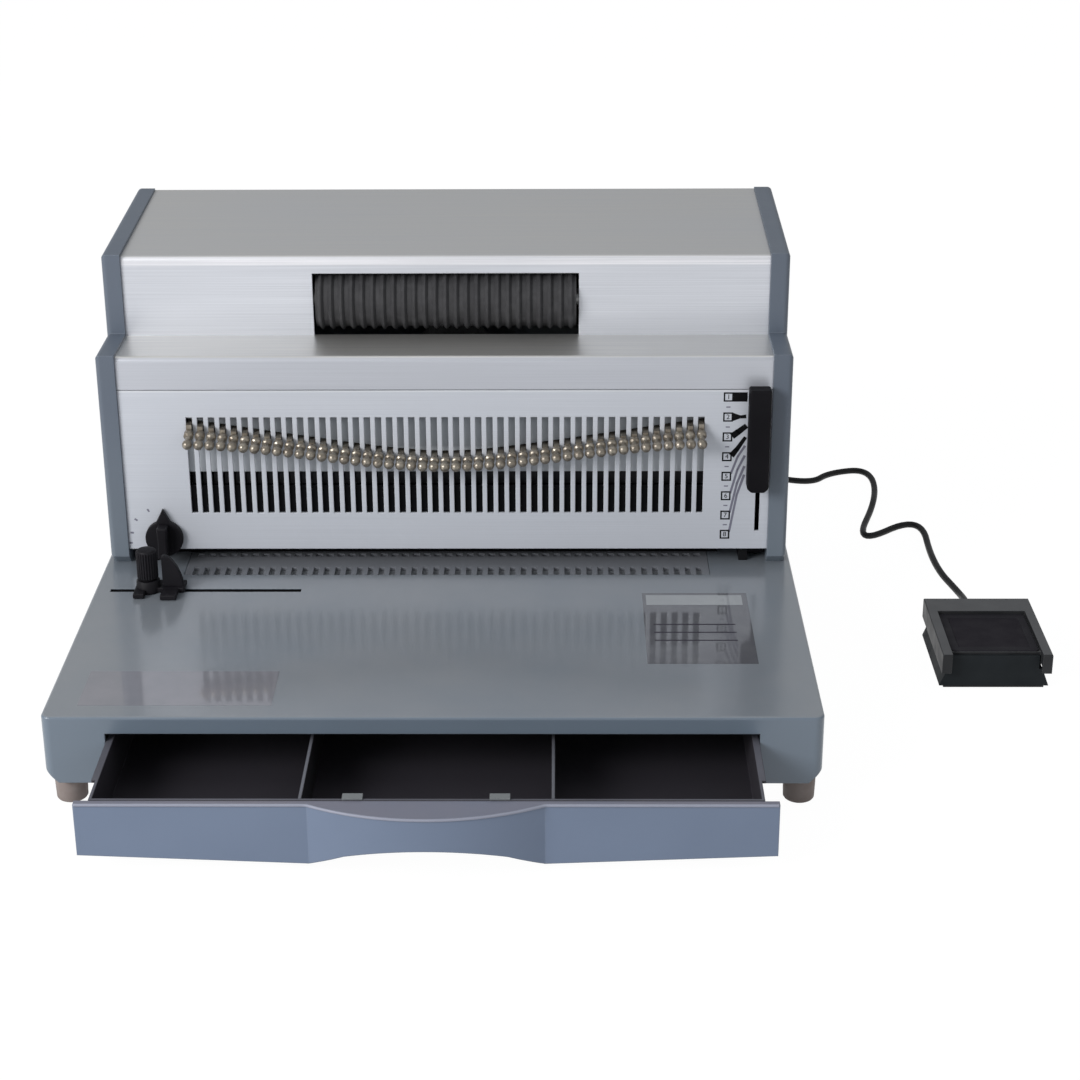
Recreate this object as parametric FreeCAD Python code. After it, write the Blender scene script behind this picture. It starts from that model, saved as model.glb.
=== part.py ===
import FreeCAD, Part
import math
import os

# Electric coil binding machine with a foot pedal, in millimetres.
# X runs to the right, Y to the back and Z up. Z = 0 is the table.
# X = 0 is the middle of the row of slots, and Y = 0 is the front of the slotted panel.

V = FreeCAD.Vector
ACROSS = V(1, 0, 0)
BACK = V(0, 1, 0)
UP = V(0, 0, 1)

# Clearances
running = 0.05
gap = 0.3
barrel_sides = 16

# The row of punch pins
pin_count = 47
pin_pitch = 6.35
pin_width = 4.0
pin_y = 12.0
pin_sides = 4
pin_head = 10.0
tip_stagger = 2.0
stroke = 14.0
row_half = (pin_count - 1) / 2 * pin_pitch

# Widths that follow the row
die_half = row_half + 5.95
bed_half = row_half + 21.95
beam_half = row_half + 3.95
guide_half = row_half + 23.95
frame_inner = guide_half
frame_thick = 5.0
head_half = frame_inner + 16.0
cheek_outer = head_half + 11.0
base_half = cheek_outer + 3.0

# Base
base_front = -193.0
base_rear = 168.0
base_top = 53.0
skirt_bottom = 15.0
base_wall = 2.0
base_corner = 5.0
base_edge = 1.5
corner_cut = 7.0
foot_radius = 7.75
foot_taper = 2.0
foot_sides = 14
foot_front_x = base_half - 10.5
foot_front_y = base_front + 13.0
foot_rear_x = base_half - 18.0
foot_rear_y = base_rear - 13.0

# Drawer and its bay
tray_half = base_half - 35.0
tray_bottom = 12.0
tray_top = 39.0
tray_wall = 1.5
tray_rear = -30.0
hem_width = 2.0
hem_reach = 40.0
opening_half = tray_half + hem_width + gap
opening_top = 43.5
front_half = tray_half + 7.0
front_bottom = 10.2
front_top = 38.6
front_thick = 4.0
front_y = base_front - 63.5
divider_x = 62.0
divider_thick = 1.6
clip_inner = 31.0
clip_outer = 41.0
clip_reach = 5.0
clip_thick = 1.0
clip_drop = 8.0
rail_x = tray_half + 4.0
rail_web = 2.0
nut_room = 8.0
floor_front = 45.0
runner_height = 3.2

# Pull in the middle of the drawer's front
pull_half = 58.0
pull_bulge = 14.5
pull_dip = 4.6
pull_slope = 18.0
pull_rise = 8.6
pull_crown = 6.7
pull_wall = 3.0

# Head
cheek_proud = 1.5
cheek_round = 3.0
sheet = 1.5
throat_top = base_top + 9.3
seam_z = base_top + 107.5
seam = 0.4
ledge_z = base_top + 127.0
ledge_depth = 39.4
upper_bend_z = base_top + 174.3
head_top = base_top + 179.5
bend_round = 3.0
window_half = 76.5
window_top = base_top + 164.0
vent_count = 7
vent_half = 60.0
vent_low = base_top + 97.0
vent_step = 9.0
vent_height = 3.5

# Slots in the panel
slot_width = 3.7
slot_bottom = base_top + 32.0
slot_top = base_top + 90.9

# Die strip and the bed below it
die_front = -16.0
die_rear = 21.0
die_thick = 2.0
notch_width = 3.2
notch_depth = 10.5
bed_front = -14.0
bed_rear = 25.0
bed_depth = 6.0
chip_slot_width = 7.0

# Punch gang
tip_height = base_top + 11.0
curve_low = base_top + 65.5
curve_rise = 19.5
curve_bend = 0.2
curve_ease = 0.8
puller_width = 3.0
puller_height = 5.0
puller_reach = 0.2
knob_width = 5.4
knob_sides = 6
knob_front = -13.0
knob_back = -2.3
beam_bottom = base_top + 56.0
beam_top = base_top + 103.0
beam_plate = 3.7
beam_web = 4.0
beam_back_bottom = base_top + 59.0
guide_top = base_top + 41.0
guide_wall = 2.8
column_x = row_half + 7.95
column_y = 31.0
column_radius = 4.0
column_top = base_top + 112.0
boss_outer = column_x + 5.5
boss_rear = column_y + 7.0

# Press shaft with its two eccentrics
shaft_y = 48.0
shaft_z = base_top + 74.0
shaft_radius = 6.5
eccentric_radius = 14.0
eccentric_x = 93.0
eccentric_width = 9.0
yoke_margin = 5.0
yoke_slack = 1.6
bearing_half = 11.0
frame_rear = base_rear - 18.0
frame_top = base_top + 119.0
frame_corner = 40.0

# Gear motor of the press shaft
gearbox_half = 34.0
gearbox_front = shaft_y - 22.0
gearbox_rear = shaft_y + 22.0
gearbox_bottom = shaft_z - 21.0
gearbox_top = shaft_z + 21.0
motor_radius = 28.0
motor_rear = base_rear - 18.0
bracket_wall = 3.0
bracket_front = gearbox_front + 8.0
bracket_rear = motor_rear - 20.0

# Coil inserting roller
roller_y = 51.5
roller_z = base_top + 146.0
roller_radius = 18.2
roller_groove = 1.6
roller_half = 75.0
rib_count = 25
roller_bore = 8.0
roller_sides = 12
roller_shaft_radius = 5.0
roller_bracket_x = 84.0
roller_bracket_thick = 4.0
roller_rail_bottom = base_top + 106.0
roller_rail_thick = 6.0
roller_rail_front = 62.0
roller_rail_rear = 78.0
drive_motor_y = 104.0
drive_motor_z = base_top + 129.0
drive_motor_radius = 16.0
drive_motor_length = 44.0
drive_shaft_radius = 3.0
pulley_radius = 8.0
pulley_x = 92.0
pulley_width = 8.0
belt_thick = 1.3

# Coil size lever on the right
lever_x = head_half - 6.5
lever_bottom = base_top + 47.5
lever_top = base_top + 111.5
lever_y = -8.0
lever_half = 6.2
lever_depth = 10.0
lever_cut = 2.4
lever_edge = 2.0
lever_offset = 1.2
lever_stem = 1.8
lever_slot = 2.6
lever_slot_bottom = base_top + 20.5
lever_stem_bottom = base_top + 61.0
lever_stem_top = base_top + 69.0
lever_rail_x = head_half - 5.0
lever_rail_y = 10.0
lever_rail_radius = 2.5
lever_rail_bottom = base_top + 5.0
lever_rail_top = base_top + 118.0
lever_rail_end = 5.0

# Margin knob on the left
dial_x = 21.4 - head_half
dial_z = base_top + 17.0
dial_radius = 11.0
dial_depth = 3.4
pointer_tip = dial_z + 18.4
pointer_half = 4.2
dial_bar_half = 3.0
dial_bar_depth = 8.0
dial_shaft_radius = 3.0
cam_radius = 5.0
cam_front = 18.7
cam_rear = 20.7

# Backstop at the back of the throat
backstop_face = 16.5
backstop_thick = 4.0
backstop_half = row_half + 11.95
backstop_top = throat_top - 0.4
backstop_pad_half = 4.5
backstop_arm_x = row_half - 6.05
backstop_arm_half = 4.0
backstop_arm_thick = 3.0
backstop_arm_rear = 62.0
staple_front = 42.0
staple_rear = 50.0
staple_wall = 3.0

# Side guide on the base
guide_slot_left = -head_half - 5.0
guide_slot_length = 109.0
guide_slot_y = -38.0
guide_slot_width = 3.9
screw_x = guide_slot_left + 22.0
screw_radius = 6.0
screw_flutes = 14
screw_shank = 1.5
screw_top = base_top + 26.0
guide_foot = 3.0
guide_left = screw_x - 11.0
guide_right = screw_x + 23.0
guide_rear = guide_slot_y + 8.0
guide_front = guide_slot_y - 14.0
toe_left_width = 9.0
toe_right_width = 13.0
boss_height = 7.0
fin_thick = 4.0
fin_height = 22.0
nut_thick = 3.0

# Foot pedal
pedal_x = 312.5
pedal_half = 31.0
pedal_rear = 14.0
pedal_arm_front = -62.0
pedal_arm_bottom = 12.0
pedal_top = 24.0
pedal_rim = 5.5
pedal_edge = 1.0
pedal_skin = 2.2
pedal_play = 1.8
pedal_wall = 2.0
pedal_seam = 0.6
tread_rear = -4.0
tread_front = -53.4
tread_top = 21.5
tread_thick = 2.5
pad_border = 0.5
pad_thick = 0.8
pad_panel = 4.5
pad_panel_depth = 0.4
pedal_inner_half = pedal_half - pedal_skin - pedal_play
pedal_flare = 4.0
pedal_base_front = tread_front - pedal_seam - pedal_wall
pedal_base_rear = pedal_rear - pedal_skin - 1.3
pedal_base_top = 15.0
pedal_front_top = tread_top - 1.3
pedal_sole = 1.5
pedal_hinge_y = 6.0
pedal_hinge_z = 15.5
pedal_pin_radius = 1.5
lug_inset = 9.0
lug_half = 2.0
switch_y = -25.0

# Pedal cable
cable = 4.2
cable_rest = cable / 2
machine_exit = V(-60.0, 182.0, 30.0)
coil_start = V(120.0, 262.0, cable_rest)
pedal_exit_y = 24.0
pedal_exit_z = cable_rest + 5.5
coil_radius = 27.0
coil_step = 4.75
coil_lift = 1.1 * cable
layer_turns = 1.125
cable_sides = 6
coil_sides = 8
sharp_bend = 8.5

machine_gland_neck = 4.5
pedal_gland_neck = 3.2
gland_sides = 12

# Rear sockets
inlet_x = -140.0
inlet_z = base_top + 27.0
inlet_half_width = 14.0
inlet_half_height = 10.5
rocker_x = -100.0
rocker_half_width = 6.5
rocker_half_height = 10.0
rocker_wall = 1.2


def box(x, y, z):
    low = V(min(x), min(y), min(z))
    return Part.makeBox(abs(x[1] - x[0]), abs(y[1] - y[0]), abs(z[1] - z[0]), low)


def rod(radius, start, direction, length):
    return Part.makeCylinder(radius, length, start, direction)


def prism(points, direction, depth):
    face = Part.Face(Part.makePolygon(points + [points[0]]))
    return face.extrude(direction * depth)


def joined(*shapes):
    whole = shapes[0].multiFuse(list(shapes[1:]))
    return whole.removeSplitter()


def less(shape, *tools):
    return shape.cut(list(tools))


def group(shapes):
    return Part.makeCompound(shapes)


def both_sides(shape):
    return [shape, shape.mirror(V(0, 0, 0), ACROSS)]


def rounded(shape, radius, chosen):
    edges = [edge for edge in shape.Edges if chosen(edge)]
    return shape.makeFillet(radius, edges)


def runs_along(edge, direction):
    line = edge.Vertexes[-1].Point - edge.Vertexes[0].Point
    return len(edge.Vertexes) == 2 and abs(line.dot(direction)) > 0.999 * line.Length


def flat_ring(sides, width, centre, direction):
    """Outline with this many flats and this width across them, square to a direction."""
    first = UP if abs(direction.dot(UP)) < 0.5 else ACROSS
    second = direction.cross(first)
    corner = width / 2 / math.cos(math.pi / sides)
    points = []
    for side in range(sides):
        angle = (side + 0.5) * 2 * math.pi / sides
        points.append(centre + first * corner * math.cos(angle) + second * corner * math.sin(angle))
    return Part.makePolygon(points + [points[0]])


def flat_sided(sides, width, centre, direction, length):
    """A straight bar or hole with this many flats."""
    return Part.Face(flat_ring(sides, width, centre, direction)).extrude(direction * length)


def barrel(radius, start, direction, length):
    """A small shaft, drum or round hole drawn with flats, its corners on the circle."""
    return flat_sided(barrel_sides, 2 * radius * math.cos(math.pi / barrel_sides), start, direction, length)


def stepped(sides, start, direction, profile):
    """A many-sided turned piece: profile gives how far along and how wide, from end to end."""
    rings = [flat_ring(sides, width, start + direction * along, direction) for along, width in profile]
    corners = [[vertex.Point for vertex in ring.OrderedVertexes] for ring in rings]
    faces = [Part.Face(rings[0]), Part.Face(rings[-1])]
    for low, high in zip(corners, corners[1:]):
        for side in range(sides):
            after = (side + 1) % sides
            band = [low[side], low[after], high[after], high[side], low[side]]
            faces.append(Part.Face(Part.makePolygon(band)))
    shell = Part.makeShell(faces)
    shell.sewShape()
    solid = Part.makeSolid(shell)
    if solid.Volume < 0:
        solid.reverse()
    return solid


def pin_places():
    return [(i - (pin_count - 1) / 2) * pin_pitch for i in range(pin_count)]


def along_row(x):
    """0 in the middle of the row and 1 at its last pin."""
    return abs(x) / row_half


def puller_height_at(x):
    t = along_row(x)
    bend = math.sqrt(t * t + curve_bend ** 2) - curve_bend
    full = math.sqrt(1 + curve_bend ** 2) - curve_bend
    return curve_low + curve_rise * bend / full


# Base and drawer

def base_cover():
    shell = box((-base_half, base_half), (base_front, base_rear), (skirt_bottom, base_top))
    shell = rounded(shell, base_corner, lambda e: runs_along(e, UP) and e.Vertexes[0].Y < base_front + 1)
    shell = rounded(shell, base_edge, lambda e: all(abs(v.Z - base_top) < 0.01 for v in e.Vertexes)
                    and min(v.Y for v in e.Vertexes) < base_rear - 1)
    inner_half = base_half - base_wall
    hollow = box((-inner_half, inner_half), (base_front + base_wall, base_rear - base_wall),
                 (skirt_bottom - 1, base_top - base_wall))
    bay = box((-opening_half, opening_half), (base_front - 1, base_front + base_wall + 1),
              (skirt_bottom - 1, opening_top))
    corner = prism([V(base_half - corner_cut, base_front - 1, skirt_bottom),
                    V(base_half + 1, base_front - 1, skirt_bottom),
                    V(base_half + 1, base_front - 1, skirt_bottom + corner_cut + 1)],
                   BACK, base_rear - base_front + 2)
    die_window = box((-die_half - gap, die_half + gap), (die_front - gap, die_rear + gap),
                     (base_top - base_wall - 1, base_top + 1))
    slide_slot = box((guide_slot_left, guide_slot_left + guide_slot_length),
                     (guide_slot_y - guide_slot_width / 2, guide_slot_y + guide_slot_width / 2),
                     (base_top - base_wall - 1, base_top + 1))
    cable_hole = flat_sided(gland_sides, 2 * machine_gland_neck,
                            V(machine_exit.x, base_rear - base_wall - 1, machine_exit.z), BACK, base_wall + 2)
    return less(shell, hollow, bay, *both_sides(corner), die_window, slide_slot, cable_hole)


def base_rail():
    """Channel under the right edge of the base: it carries two feet and a drawer runner."""
    top = base_top - base_wall
    web = box((rail_x, rail_x + rail_web), (base_front + base_wall, base_rear - base_wall),
              (skirt_bottom, top))
    flange = box((rail_x, base_half - corner_cut), (base_front + base_wall, base_rear - base_wall),
                 (skirt_bottom, skirt_bottom + rail_web))
    nut_way = box((rail_x - 1, rail_x + rail_web + 1), (guide_slot_y - 8, guide_slot_y + 8),
                  (top - nut_room, top + 1))
    return less(joined(web, flange), nut_way)


def drawer_runner():
    """Ledge on the right channel that the hem of the tray hangs on."""
    top = tray_top - tray_wall - gap
    return box((tray_half + gap, rail_x), (base_front + base_wall, die_rear), (top - runner_height, top))


def chassis_floor():
    floor = box((-rail_x, rail_x), (floor_front, base_rear - base_wall),
                (skirt_bottom, skirt_bottom + rail_web))
    return floor


def rubber_feet():
    feet = []
    for x, y in ((foot_front_x, foot_front_y), (foot_rear_x, foot_rear_y)):
        foot = stepped(foot_sides, V(x, y, 0), UP,
                       [(0, 2 * foot_radius - foot_taper), (skirt_bottom, 2 * foot_radius)])
        feet += both_sides(foot)
    return group(feet)


def drawer_tray():
    rear = tray_rear
    front = front_y + front_thick
    outer = box((-tray_half, tray_half), (front, rear), (tray_bottom, tray_top))
    inner = box((-tray_half + tray_wall, tray_half - tray_wall), (front + tray_wall, rear - tray_wall),
                (tray_bottom + tray_wall, tray_top + 1))
    hem = box((tray_half - 0.5, tray_half + hem_width), (base_front - hem_reach, rear),
              (tray_top - tray_wall, tray_top))
    return joined(less(outer, inner), *both_sides(hem))


def drawer_dividers():
    front = front_y + front_thick + tray_wall
    divider = box((divider_x - divider_thick / 2, divider_x + divider_thick / 2),
                  (front, tray_rear - tray_wall), (tray_bottom + tray_wall, tray_top - 1))
    return group(both_sides(divider))


def pull_lens(half, bulge, low, high):
    """Upright block with a flat back on the drawer's face and a front that swells in one arc."""
    edge = Part.Arc(V(-half, front_y, low), V(0, front_y - bulge, low), V(half, front_y, low)).toShape()
    back = Part.LineSegment(V(half, front_y, low), V(-half, front_y, low)).toShape()
    return Part.Face(Part.Wire([edge, back])).extrude(UP * (high - low))


def drawer_front():
    """Front plate with a hollow pull that swells forward over an arch in the lower edge."""
    dip = front_bottom - pull_dip
    slope = pull_half - pull_slope
    spring = dip + pull_rise
    plate = box((-front_half, front_half), (front_y, front_y + front_thick), (dip, front_top))
    bulge = pull_lens(pull_half, pull_bulge, dip, front_top)
    pocket = pull_lens(pull_half - 2 * pull_wall, pull_bulge - pull_wall, dip - 1, front_top - pull_wall)
    rear = front_y + front_thick + 1

    def edge(a, b):
        return Part.LineSegment(V(a[0], rear, a[1]), V(b[0], rear, b[1])).toShape()

    floor = dip - 1
    corners = [(-slope, spring), (-pull_half, dip), (-front_half - 1, front_bottom), (-front_half - 1, floor),
               (front_half + 1, floor), (front_half + 1, front_bottom), (pull_half, dip), (slope, spring)]
    arch = Part.Arc(V(slope, rear, spring), V(0, rear, spring + pull_crown), V(-slope, rear, spring)).toShape()
    outline = [edge(a, b) for a, b in zip(corners, corners[1:])] + [arch]
    below = Part.Face(Part.Wire(outline)).extrude(BACK * -(front_thick + pull_bulge + 3))
    return less(joined(plate, bulge), below, pocket)


def drawer_clips():
    rear = front_y + front_thick
    clip = box((clip_inner, clip_outer), (rear, rear + clip_reach), (tray_top, tray_top + clip_thick))
    lip = box((clip_inner, clip_outer), (rear + tray_wall, rear + tray_wall + clip_thick),
              (tray_top - clip_drop, tray_top))
    return group(both_sides(joined(clip, lip)))


# Head covers

def cheek():
    """Right side plate of the head, with its step at the ledge."""
    front = -cheek_proud
    step = ledge_depth - cheek_proud
    low = base_top
    points = [(3, low), (base_rear, low), (base_rear, head_top + 1), (step, upper_bend_z + cheek_proud),
              (step, ledge_z + cheek_proud), (front, ledge_z + cheek_proud), (front, low + 5)]
    plate = prism([V(head_half, y, z) for y, z in points], ACROSS, cheek_outer - head_half)
    return rounded(plate, cheek_round, lambda e: all(abs(v.X - cheek_outer) < 0.01 for v in e.Vertexes)
                   and max(v.Z for v in e.Vertexes) > low + 4
                   and min(v.Y for v in e.Vertexes) < base_rear - 1)


def head_cover():
    """One bent sheet: lip above the slotted panel, ledge, upper front and top."""
    outer = [(0, seam_z), (0, ledge_z), (ledge_depth, ledge_z), (ledge_depth, upper_bend_z),
             (base_rear, head_top)]
    slope = (head_top - upper_bend_z) / (base_rear - ledge_depth)
    inner = [(base_rear, head_top - sheet), (ledge_depth + sheet, upper_bend_z - sheet + slope * sheet),
             (ledge_depth + sheet, ledge_z - sheet), (sheet, ledge_z - sheet), (sheet, seam_z)]
    cover = prism([V(-head_half, y, z) for y, z in outer + inner], ACROSS, 2 * head_half)
    bends = ((0, ledge_z), (ledge_depth, upper_bend_z))
    cover = rounded(cover, bend_round, lambda e: runs_along(e, ACROSS) and any(
        abs(e.Vertexes[0].Y - y) < 0.01 and abs(e.Vertexes[0].Z - z) < 0.01 for y, z in bends))
    window = box((-window_half, window_half), (ledge_depth - 1, ledge_depth + sheet + 1),
                 (ledge_z, window_top))
    return less(cover, window)


def slotted_panel():
    panel = box((-head_half, head_half), (0, sheet), (throat_top, seam_z - seam))
    tools = []
    for x in pin_places():
        tools.append(box((x - slot_width / 2, x + slot_width / 2), (-1, sheet + 1), (slot_bottom, slot_top)))
    tools.append(box((lever_x - lever_slot / 2, lever_x + lever_slot / 2), (-1, sheet + 1),
                     (lever_slot_bottom, lever_stem_top + 0.5)))
    tools.append(rod(dial_shaft_radius + gap, V(dial_x, -1, dial_z), BACK, sheet + 2))
    return less(panel, *tools)


def rear_cover():
    cover = box((-head_half, head_half), (base_rear - sheet, base_rear), (base_top, head_top - sheet - 0.2))
    vents = []
    for row in range(vent_count):
        z = vent_low + vent_step * row
        vents.append(box((-vent_half, vent_half), (base_rear - 3, base_rear + 1), (z, z + vent_height)))
    inlet = box((inlet_x - inlet_half_width, inlet_x + inlet_half_width), (base_rear - 3, base_rear + 1),
                (inlet_z - inlet_half_height, inlet_z + inlet_half_height))
    rocker = box((rocker_x - rocker_half_width, rocker_x + rocker_half_width), (base_rear - 3, base_rear + 1),
                 (inlet_z - rocker_half_height, inlet_z + rocker_half_height))
    return less(cover, inlet, rocker, *vents)


# Punch

def die_strip():
    strip = box((-die_half, die_half), (die_front, die_rear), (base_top - die_thick, base_top))
    tools = []
    for x in pin_places():
        tools.append(flat_sided(pin_sides, pin_width + 2 * running, V(x, pin_y, base_top - die_thick - 1), UP,
                                die_thick + 2))
        tools.append(box((x - notch_width / 2, x + notch_width / 2), (die_front - 1, die_front + notch_depth),
                         (base_top - die_thick - 1, base_top + 1)))
    return less(strip, *tools)


def die_bed():
    top = base_top - base_wall
    bed = box((-bed_half, bed_half), (bed_front, bed_rear), (top - bed_depth, top))
    reach = pin_places()[-1] + pin_pitch
    chips = box((-reach, reach), (pin_y - chip_slot_width / 2, pin_y + chip_slot_width / 2),
                (top - bed_depth - 1, top + 1))
    return less(bed, chips)


def guide_block():
    """Black block behind the panel whose grooves keep the pins upright."""
    body_rear = pin_y + pin_width / 2 + running
    wall_rear = sheet + guide_wall
    wall_top = curve_low - puller_height / 2 - stroke - gap
    wall = box((-guide_half, guide_half), (sheet, wall_rear), (throat_top, wall_top))
    body = box((-guide_half, guide_half), (wall_rear, body_rear), (throat_top, guide_top))
    block = joined(wall, body)
    half = pin_width / 2 + running
    tools = [box((x - half, x + half), (pin_y - half, body_rear + 1), (throat_top - 1, guide_top + 1))
             for x in pin_places()]
    tools.append(rod(dial_shaft_radius + running, V(dial_x, 0, dial_z), BACK, body_rear + 1))
    return less(block, *tools)


def guide_back_plate():
    front = pin_y + pin_width / 2 + running
    plate = box((-guide_half, guide_half), (front, cam_front - gap), (throat_top, guide_top))
    return less(plate, rod(dial_shaft_radius + running, V(dial_x, front - 1, dial_z), BACK, 8))


def guide_columns():
    return group(both_sides(barrel(column_radius, V(column_x, column_y, base_top), UP, column_top - base_top)))


def punch_pins():
    pins = []
    half = pin_width / 2
    for x in pin_places():
        tip = tip_height + tip_stagger * along_row(x)
        z = puller_height_at(x)
        pin = flat_sided(pin_sides, pin_width, V(x, pin_y, tip), UP, z + pin_head - tip)
        notch = box((x - half - 1, x + half + 1), (pin_y - half - 1, pin_y),
                    (z - puller_height / 2 - 0.1, z + puller_height / 2 + 0.1))
        pins.append(less(pin, notch))
    return group(pins)


def pin_pullers():
    """One pull knob for each pin: its tail fits the notch of the pin."""
    pullers = []
    for x in pin_places():
        z = puller_height_at(x)
        head = flat_sided(knob_sides, knob_width, V(x, knob_front, z), BACK, knob_back - knob_front)
        tail = box((x - puller_width / 2, x + puller_width / 2), (knob_back, pin_y - puller_reach),
                   (z - puller_height / 2, z + puller_height / 2))
        pullers.append(joined(head, tail))
    return group(pullers)


def press_beam():
    """Plate with one curved slot for the pullers, a web over the pins and two yokes."""
    front = sheet + guide_wall + gap
    back = pin_y + pin_width / 2 + gap
    plate = box((-beam_half, beam_half), (front, front + beam_plate), (beam_bottom, beam_top))
    half = puller_height / 2 + curve_ease
    places = pin_places()
    ends = [places[0] - puller_width] + places[1:-1:2] + [places[-1] + puller_width]
    upper = [V(x, 0, puller_height_at(x) + half) for x in ends]
    lower = [V(x, 0, puller_height_at(x) - half) for x in reversed(ends)]
    plate = less(plate, prism(upper + lower, BACK, back))
    web = box((-beam_half, beam_half), (front, back + beam_web), (beam_top - beam_web, beam_top))
    rear = box((-beam_half, beam_half), (back, back + beam_web), (beam_back_bottom, beam_top))
    boss = box((beam_half - 1, boss_outer), (back, boss_rear), (beam_back_bottom, beam_top))
    boss = less(boss, rod(column_radius + running, V(column_x, column_y, 0), UP, beam_top + 1))
    middle_z = shaft_z + stroke / 2
    tall = eccentric_radius + yoke_slack
    wide = eccentric_radius + stroke / 2 + 2 * gap
    inner_x = eccentric_x - eccentric_width / 2
    yoke = box((inner_x, inner_x + eccentric_width), (back + beam_web - 1, shaft_y + wide + yoke_margin),
               (middle_z - tall - yoke_margin, middle_z + tall + yoke_margin))
    yoke = less(yoke, box((inner_x - 1, inner_x + eccentric_width + 1), (shaft_y - wide, shaft_y + wide),
                          (middle_z - tall, middle_z + tall)))
    return joined(plate, web, rear, *both_sides(boss), *both_sides(yoke))


def press_shaft():
    reach = frame_inner + frame_thick
    shaft = barrel(shaft_radius, V(-reach, shaft_y, shaft_z), ACROSS, 2 * reach)
    inner_x = eccentric_x - eccentric_width / 2
    disc = rod(eccentric_radius, V(inner_x, shaft_y, shaft_z + stroke / 2), ACROSS, eccentric_width)
    return joined(shaft, *both_sides(disc))


def bearing_block(x, length):
    """Square block that sits in a side frame and carries one end of the press shaft."""
    return box((x, x + length), (shaft_y - bearing_half, shaft_y + bearing_half),
               (shaft_z - bearing_half, shaft_z + bearing_half))


def shaft_bearings():
    ring = bearing_block(frame_inner, frame_thick)
    bore = rod(shaft_radius + running, V(frame_inner - 1, shaft_y, shaft_z), ACROSS, frame_thick + 2)
    return group(both_sides(less(ring, bore)))


def side_frame():
    plate = box((frame_inner, frame_inner + frame_thick), (sheet + guide_wall, frame_rear),
                (base_top, frame_top))
    outside = frame_inner - 1
    corner = prism([V(outside, frame_rear - frame_corner, frame_top + 1),
                    V(outside, frame_rear + 1, frame_top + 1),
                    V(outside, frame_rear + 1, frame_top - frame_corner)], ACROSS, frame_thick + 2)
    seat = bearing_block(frame_inner - 1, frame_thick + 2)
    return less(plate, seat, corner)


def punch_gearmotor():
    case = box((-gearbox_half, gearbox_half), (gearbox_front, gearbox_rear), (gearbox_bottom, gearbox_top))
    bore = flat_sided(6, 2 * shaft_radius + 2 * gap, V(-gearbox_half - 1, shaft_y, shaft_z), ACROSS,
                      2 * gearbox_half + 2)
    motor = barrel(motor_radius, V(0, gearbox_rear - 1, shaft_z), BACK, motor_rear - gearbox_rear)
    return less(joined(case, motor), bore)


def gearmotor_bracket():
    outer = box((-gearbox_half, gearbox_half), (bracket_front, bracket_rear), (base_top, gearbox_bottom))
    inner = box((-gearbox_half + bracket_wall, gearbox_half - bracket_wall),
                (bracket_front - 1, bracket_rear + 1), (base_top + bracket_wall, gearbox_bottom + 1))
    return less(outer, inner)


# Coil inserting roller

def roller_rubber():
    """Ribbed sleeve: one sharp rib and one groove for each step along it."""
    step = 2 * roller_half / rib_count
    low = 2 * (roller_radius - roller_groove)
    profile = [(0, low)]
    for rib in range(rib_count):
        profile.append((rib * step + step / 2, 2 * roller_radius))
        profile.append((rib * step + step, low))
    start = V(-roller_half, roller_y, roller_z)
    sleeve = stepped(roller_sides, start, ACROSS, profile)
    return less(sleeve, barrel(roller_bore, start - ACROSS, ACROSS, 2 * roller_half + 2))


def roller_shaft():
    core = barrel(roller_bore, V(-roller_half, roller_y, roller_z), ACROSS, 2 * roller_half)
    left = -roller_bracket_x - roller_bracket_thick
    shaft = barrel(roller_shaft_radius, V(left, roller_y, roller_z), ACROSS, pulley_x + pulley_width + 2 - left)
    return joined(core, shaft, pulley(roller_y, roller_z))


def pulley(y, z):
    return barrel(pulley_radius, V(pulley_x, y, z), ACROSS, pulley_width)


def roller_rail():
    return box((-frame_inner, frame_inner), (roller_rail_front, roller_rail_rear),
               (roller_rail_bottom, roller_rail_bottom + roller_rail_thick))


def roller_bracket(rear):
    """Right bearing plate of the roller; the rear edge is where the drive motor needs it."""
    foot = roller_rail_bottom + roller_rail_thick
    front = ledge_depth + sheet + 1
    plate = box((roller_bracket_x, roller_bracket_x + roller_bracket_thick), (front, rear),
                (foot, roller_z + roller_shaft_radius + 8))
    bore = rod(roller_shaft_radius + running, V(roller_bracket_x - 1, roller_y, roller_z), ACROSS,
               roller_bracket_thick + 2)
    return less(plate, bore)


def roller_bracket_right():
    plate = roller_bracket(drive_motor_y + drive_motor_radius + 2)
    return less(plate, rod(drive_shaft_radius + gap, V(roller_bracket_x - 1, drive_motor_y, drive_motor_z),
                           ACROSS, roller_bracket_thick + 2))


def roller_motor():
    return barrel(drive_motor_radius, V(roller_bracket_x - drive_motor_length, drive_motor_y, drive_motor_z),
               ACROSS, drive_motor_length)


def roller_motor_shaft():
    shaft = barrel(drive_shaft_radius, V(roller_bracket_x, drive_motor_y, drive_motor_z), ACROSS,
                pulley_x + pulley_width + 2 - roller_bracket_x)
    return joined(shaft, pulley(drive_motor_y, drive_motor_z))


def loop_solid(radius, x, width):
    """The space inside a belt line of this radius round both pulleys."""
    run_y = drive_motor_y - roller_y
    run_z = drive_motor_z - roller_z
    quarter = math.atan2(run_z, run_y) + math.pi / 2
    half = barrel_sides // 2
    points = []
    for y, z, first in ((roller_y, roller_z, quarter), (drive_motor_y, drive_motor_z, quarter + math.pi)):
        for i in range(half + 1):
            angle = first + math.pi * i / half
            points.append(V(x, y + radius * math.cos(angle), z + radius * math.sin(angle)))
    return prism(points, ACROSS, width)


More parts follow.
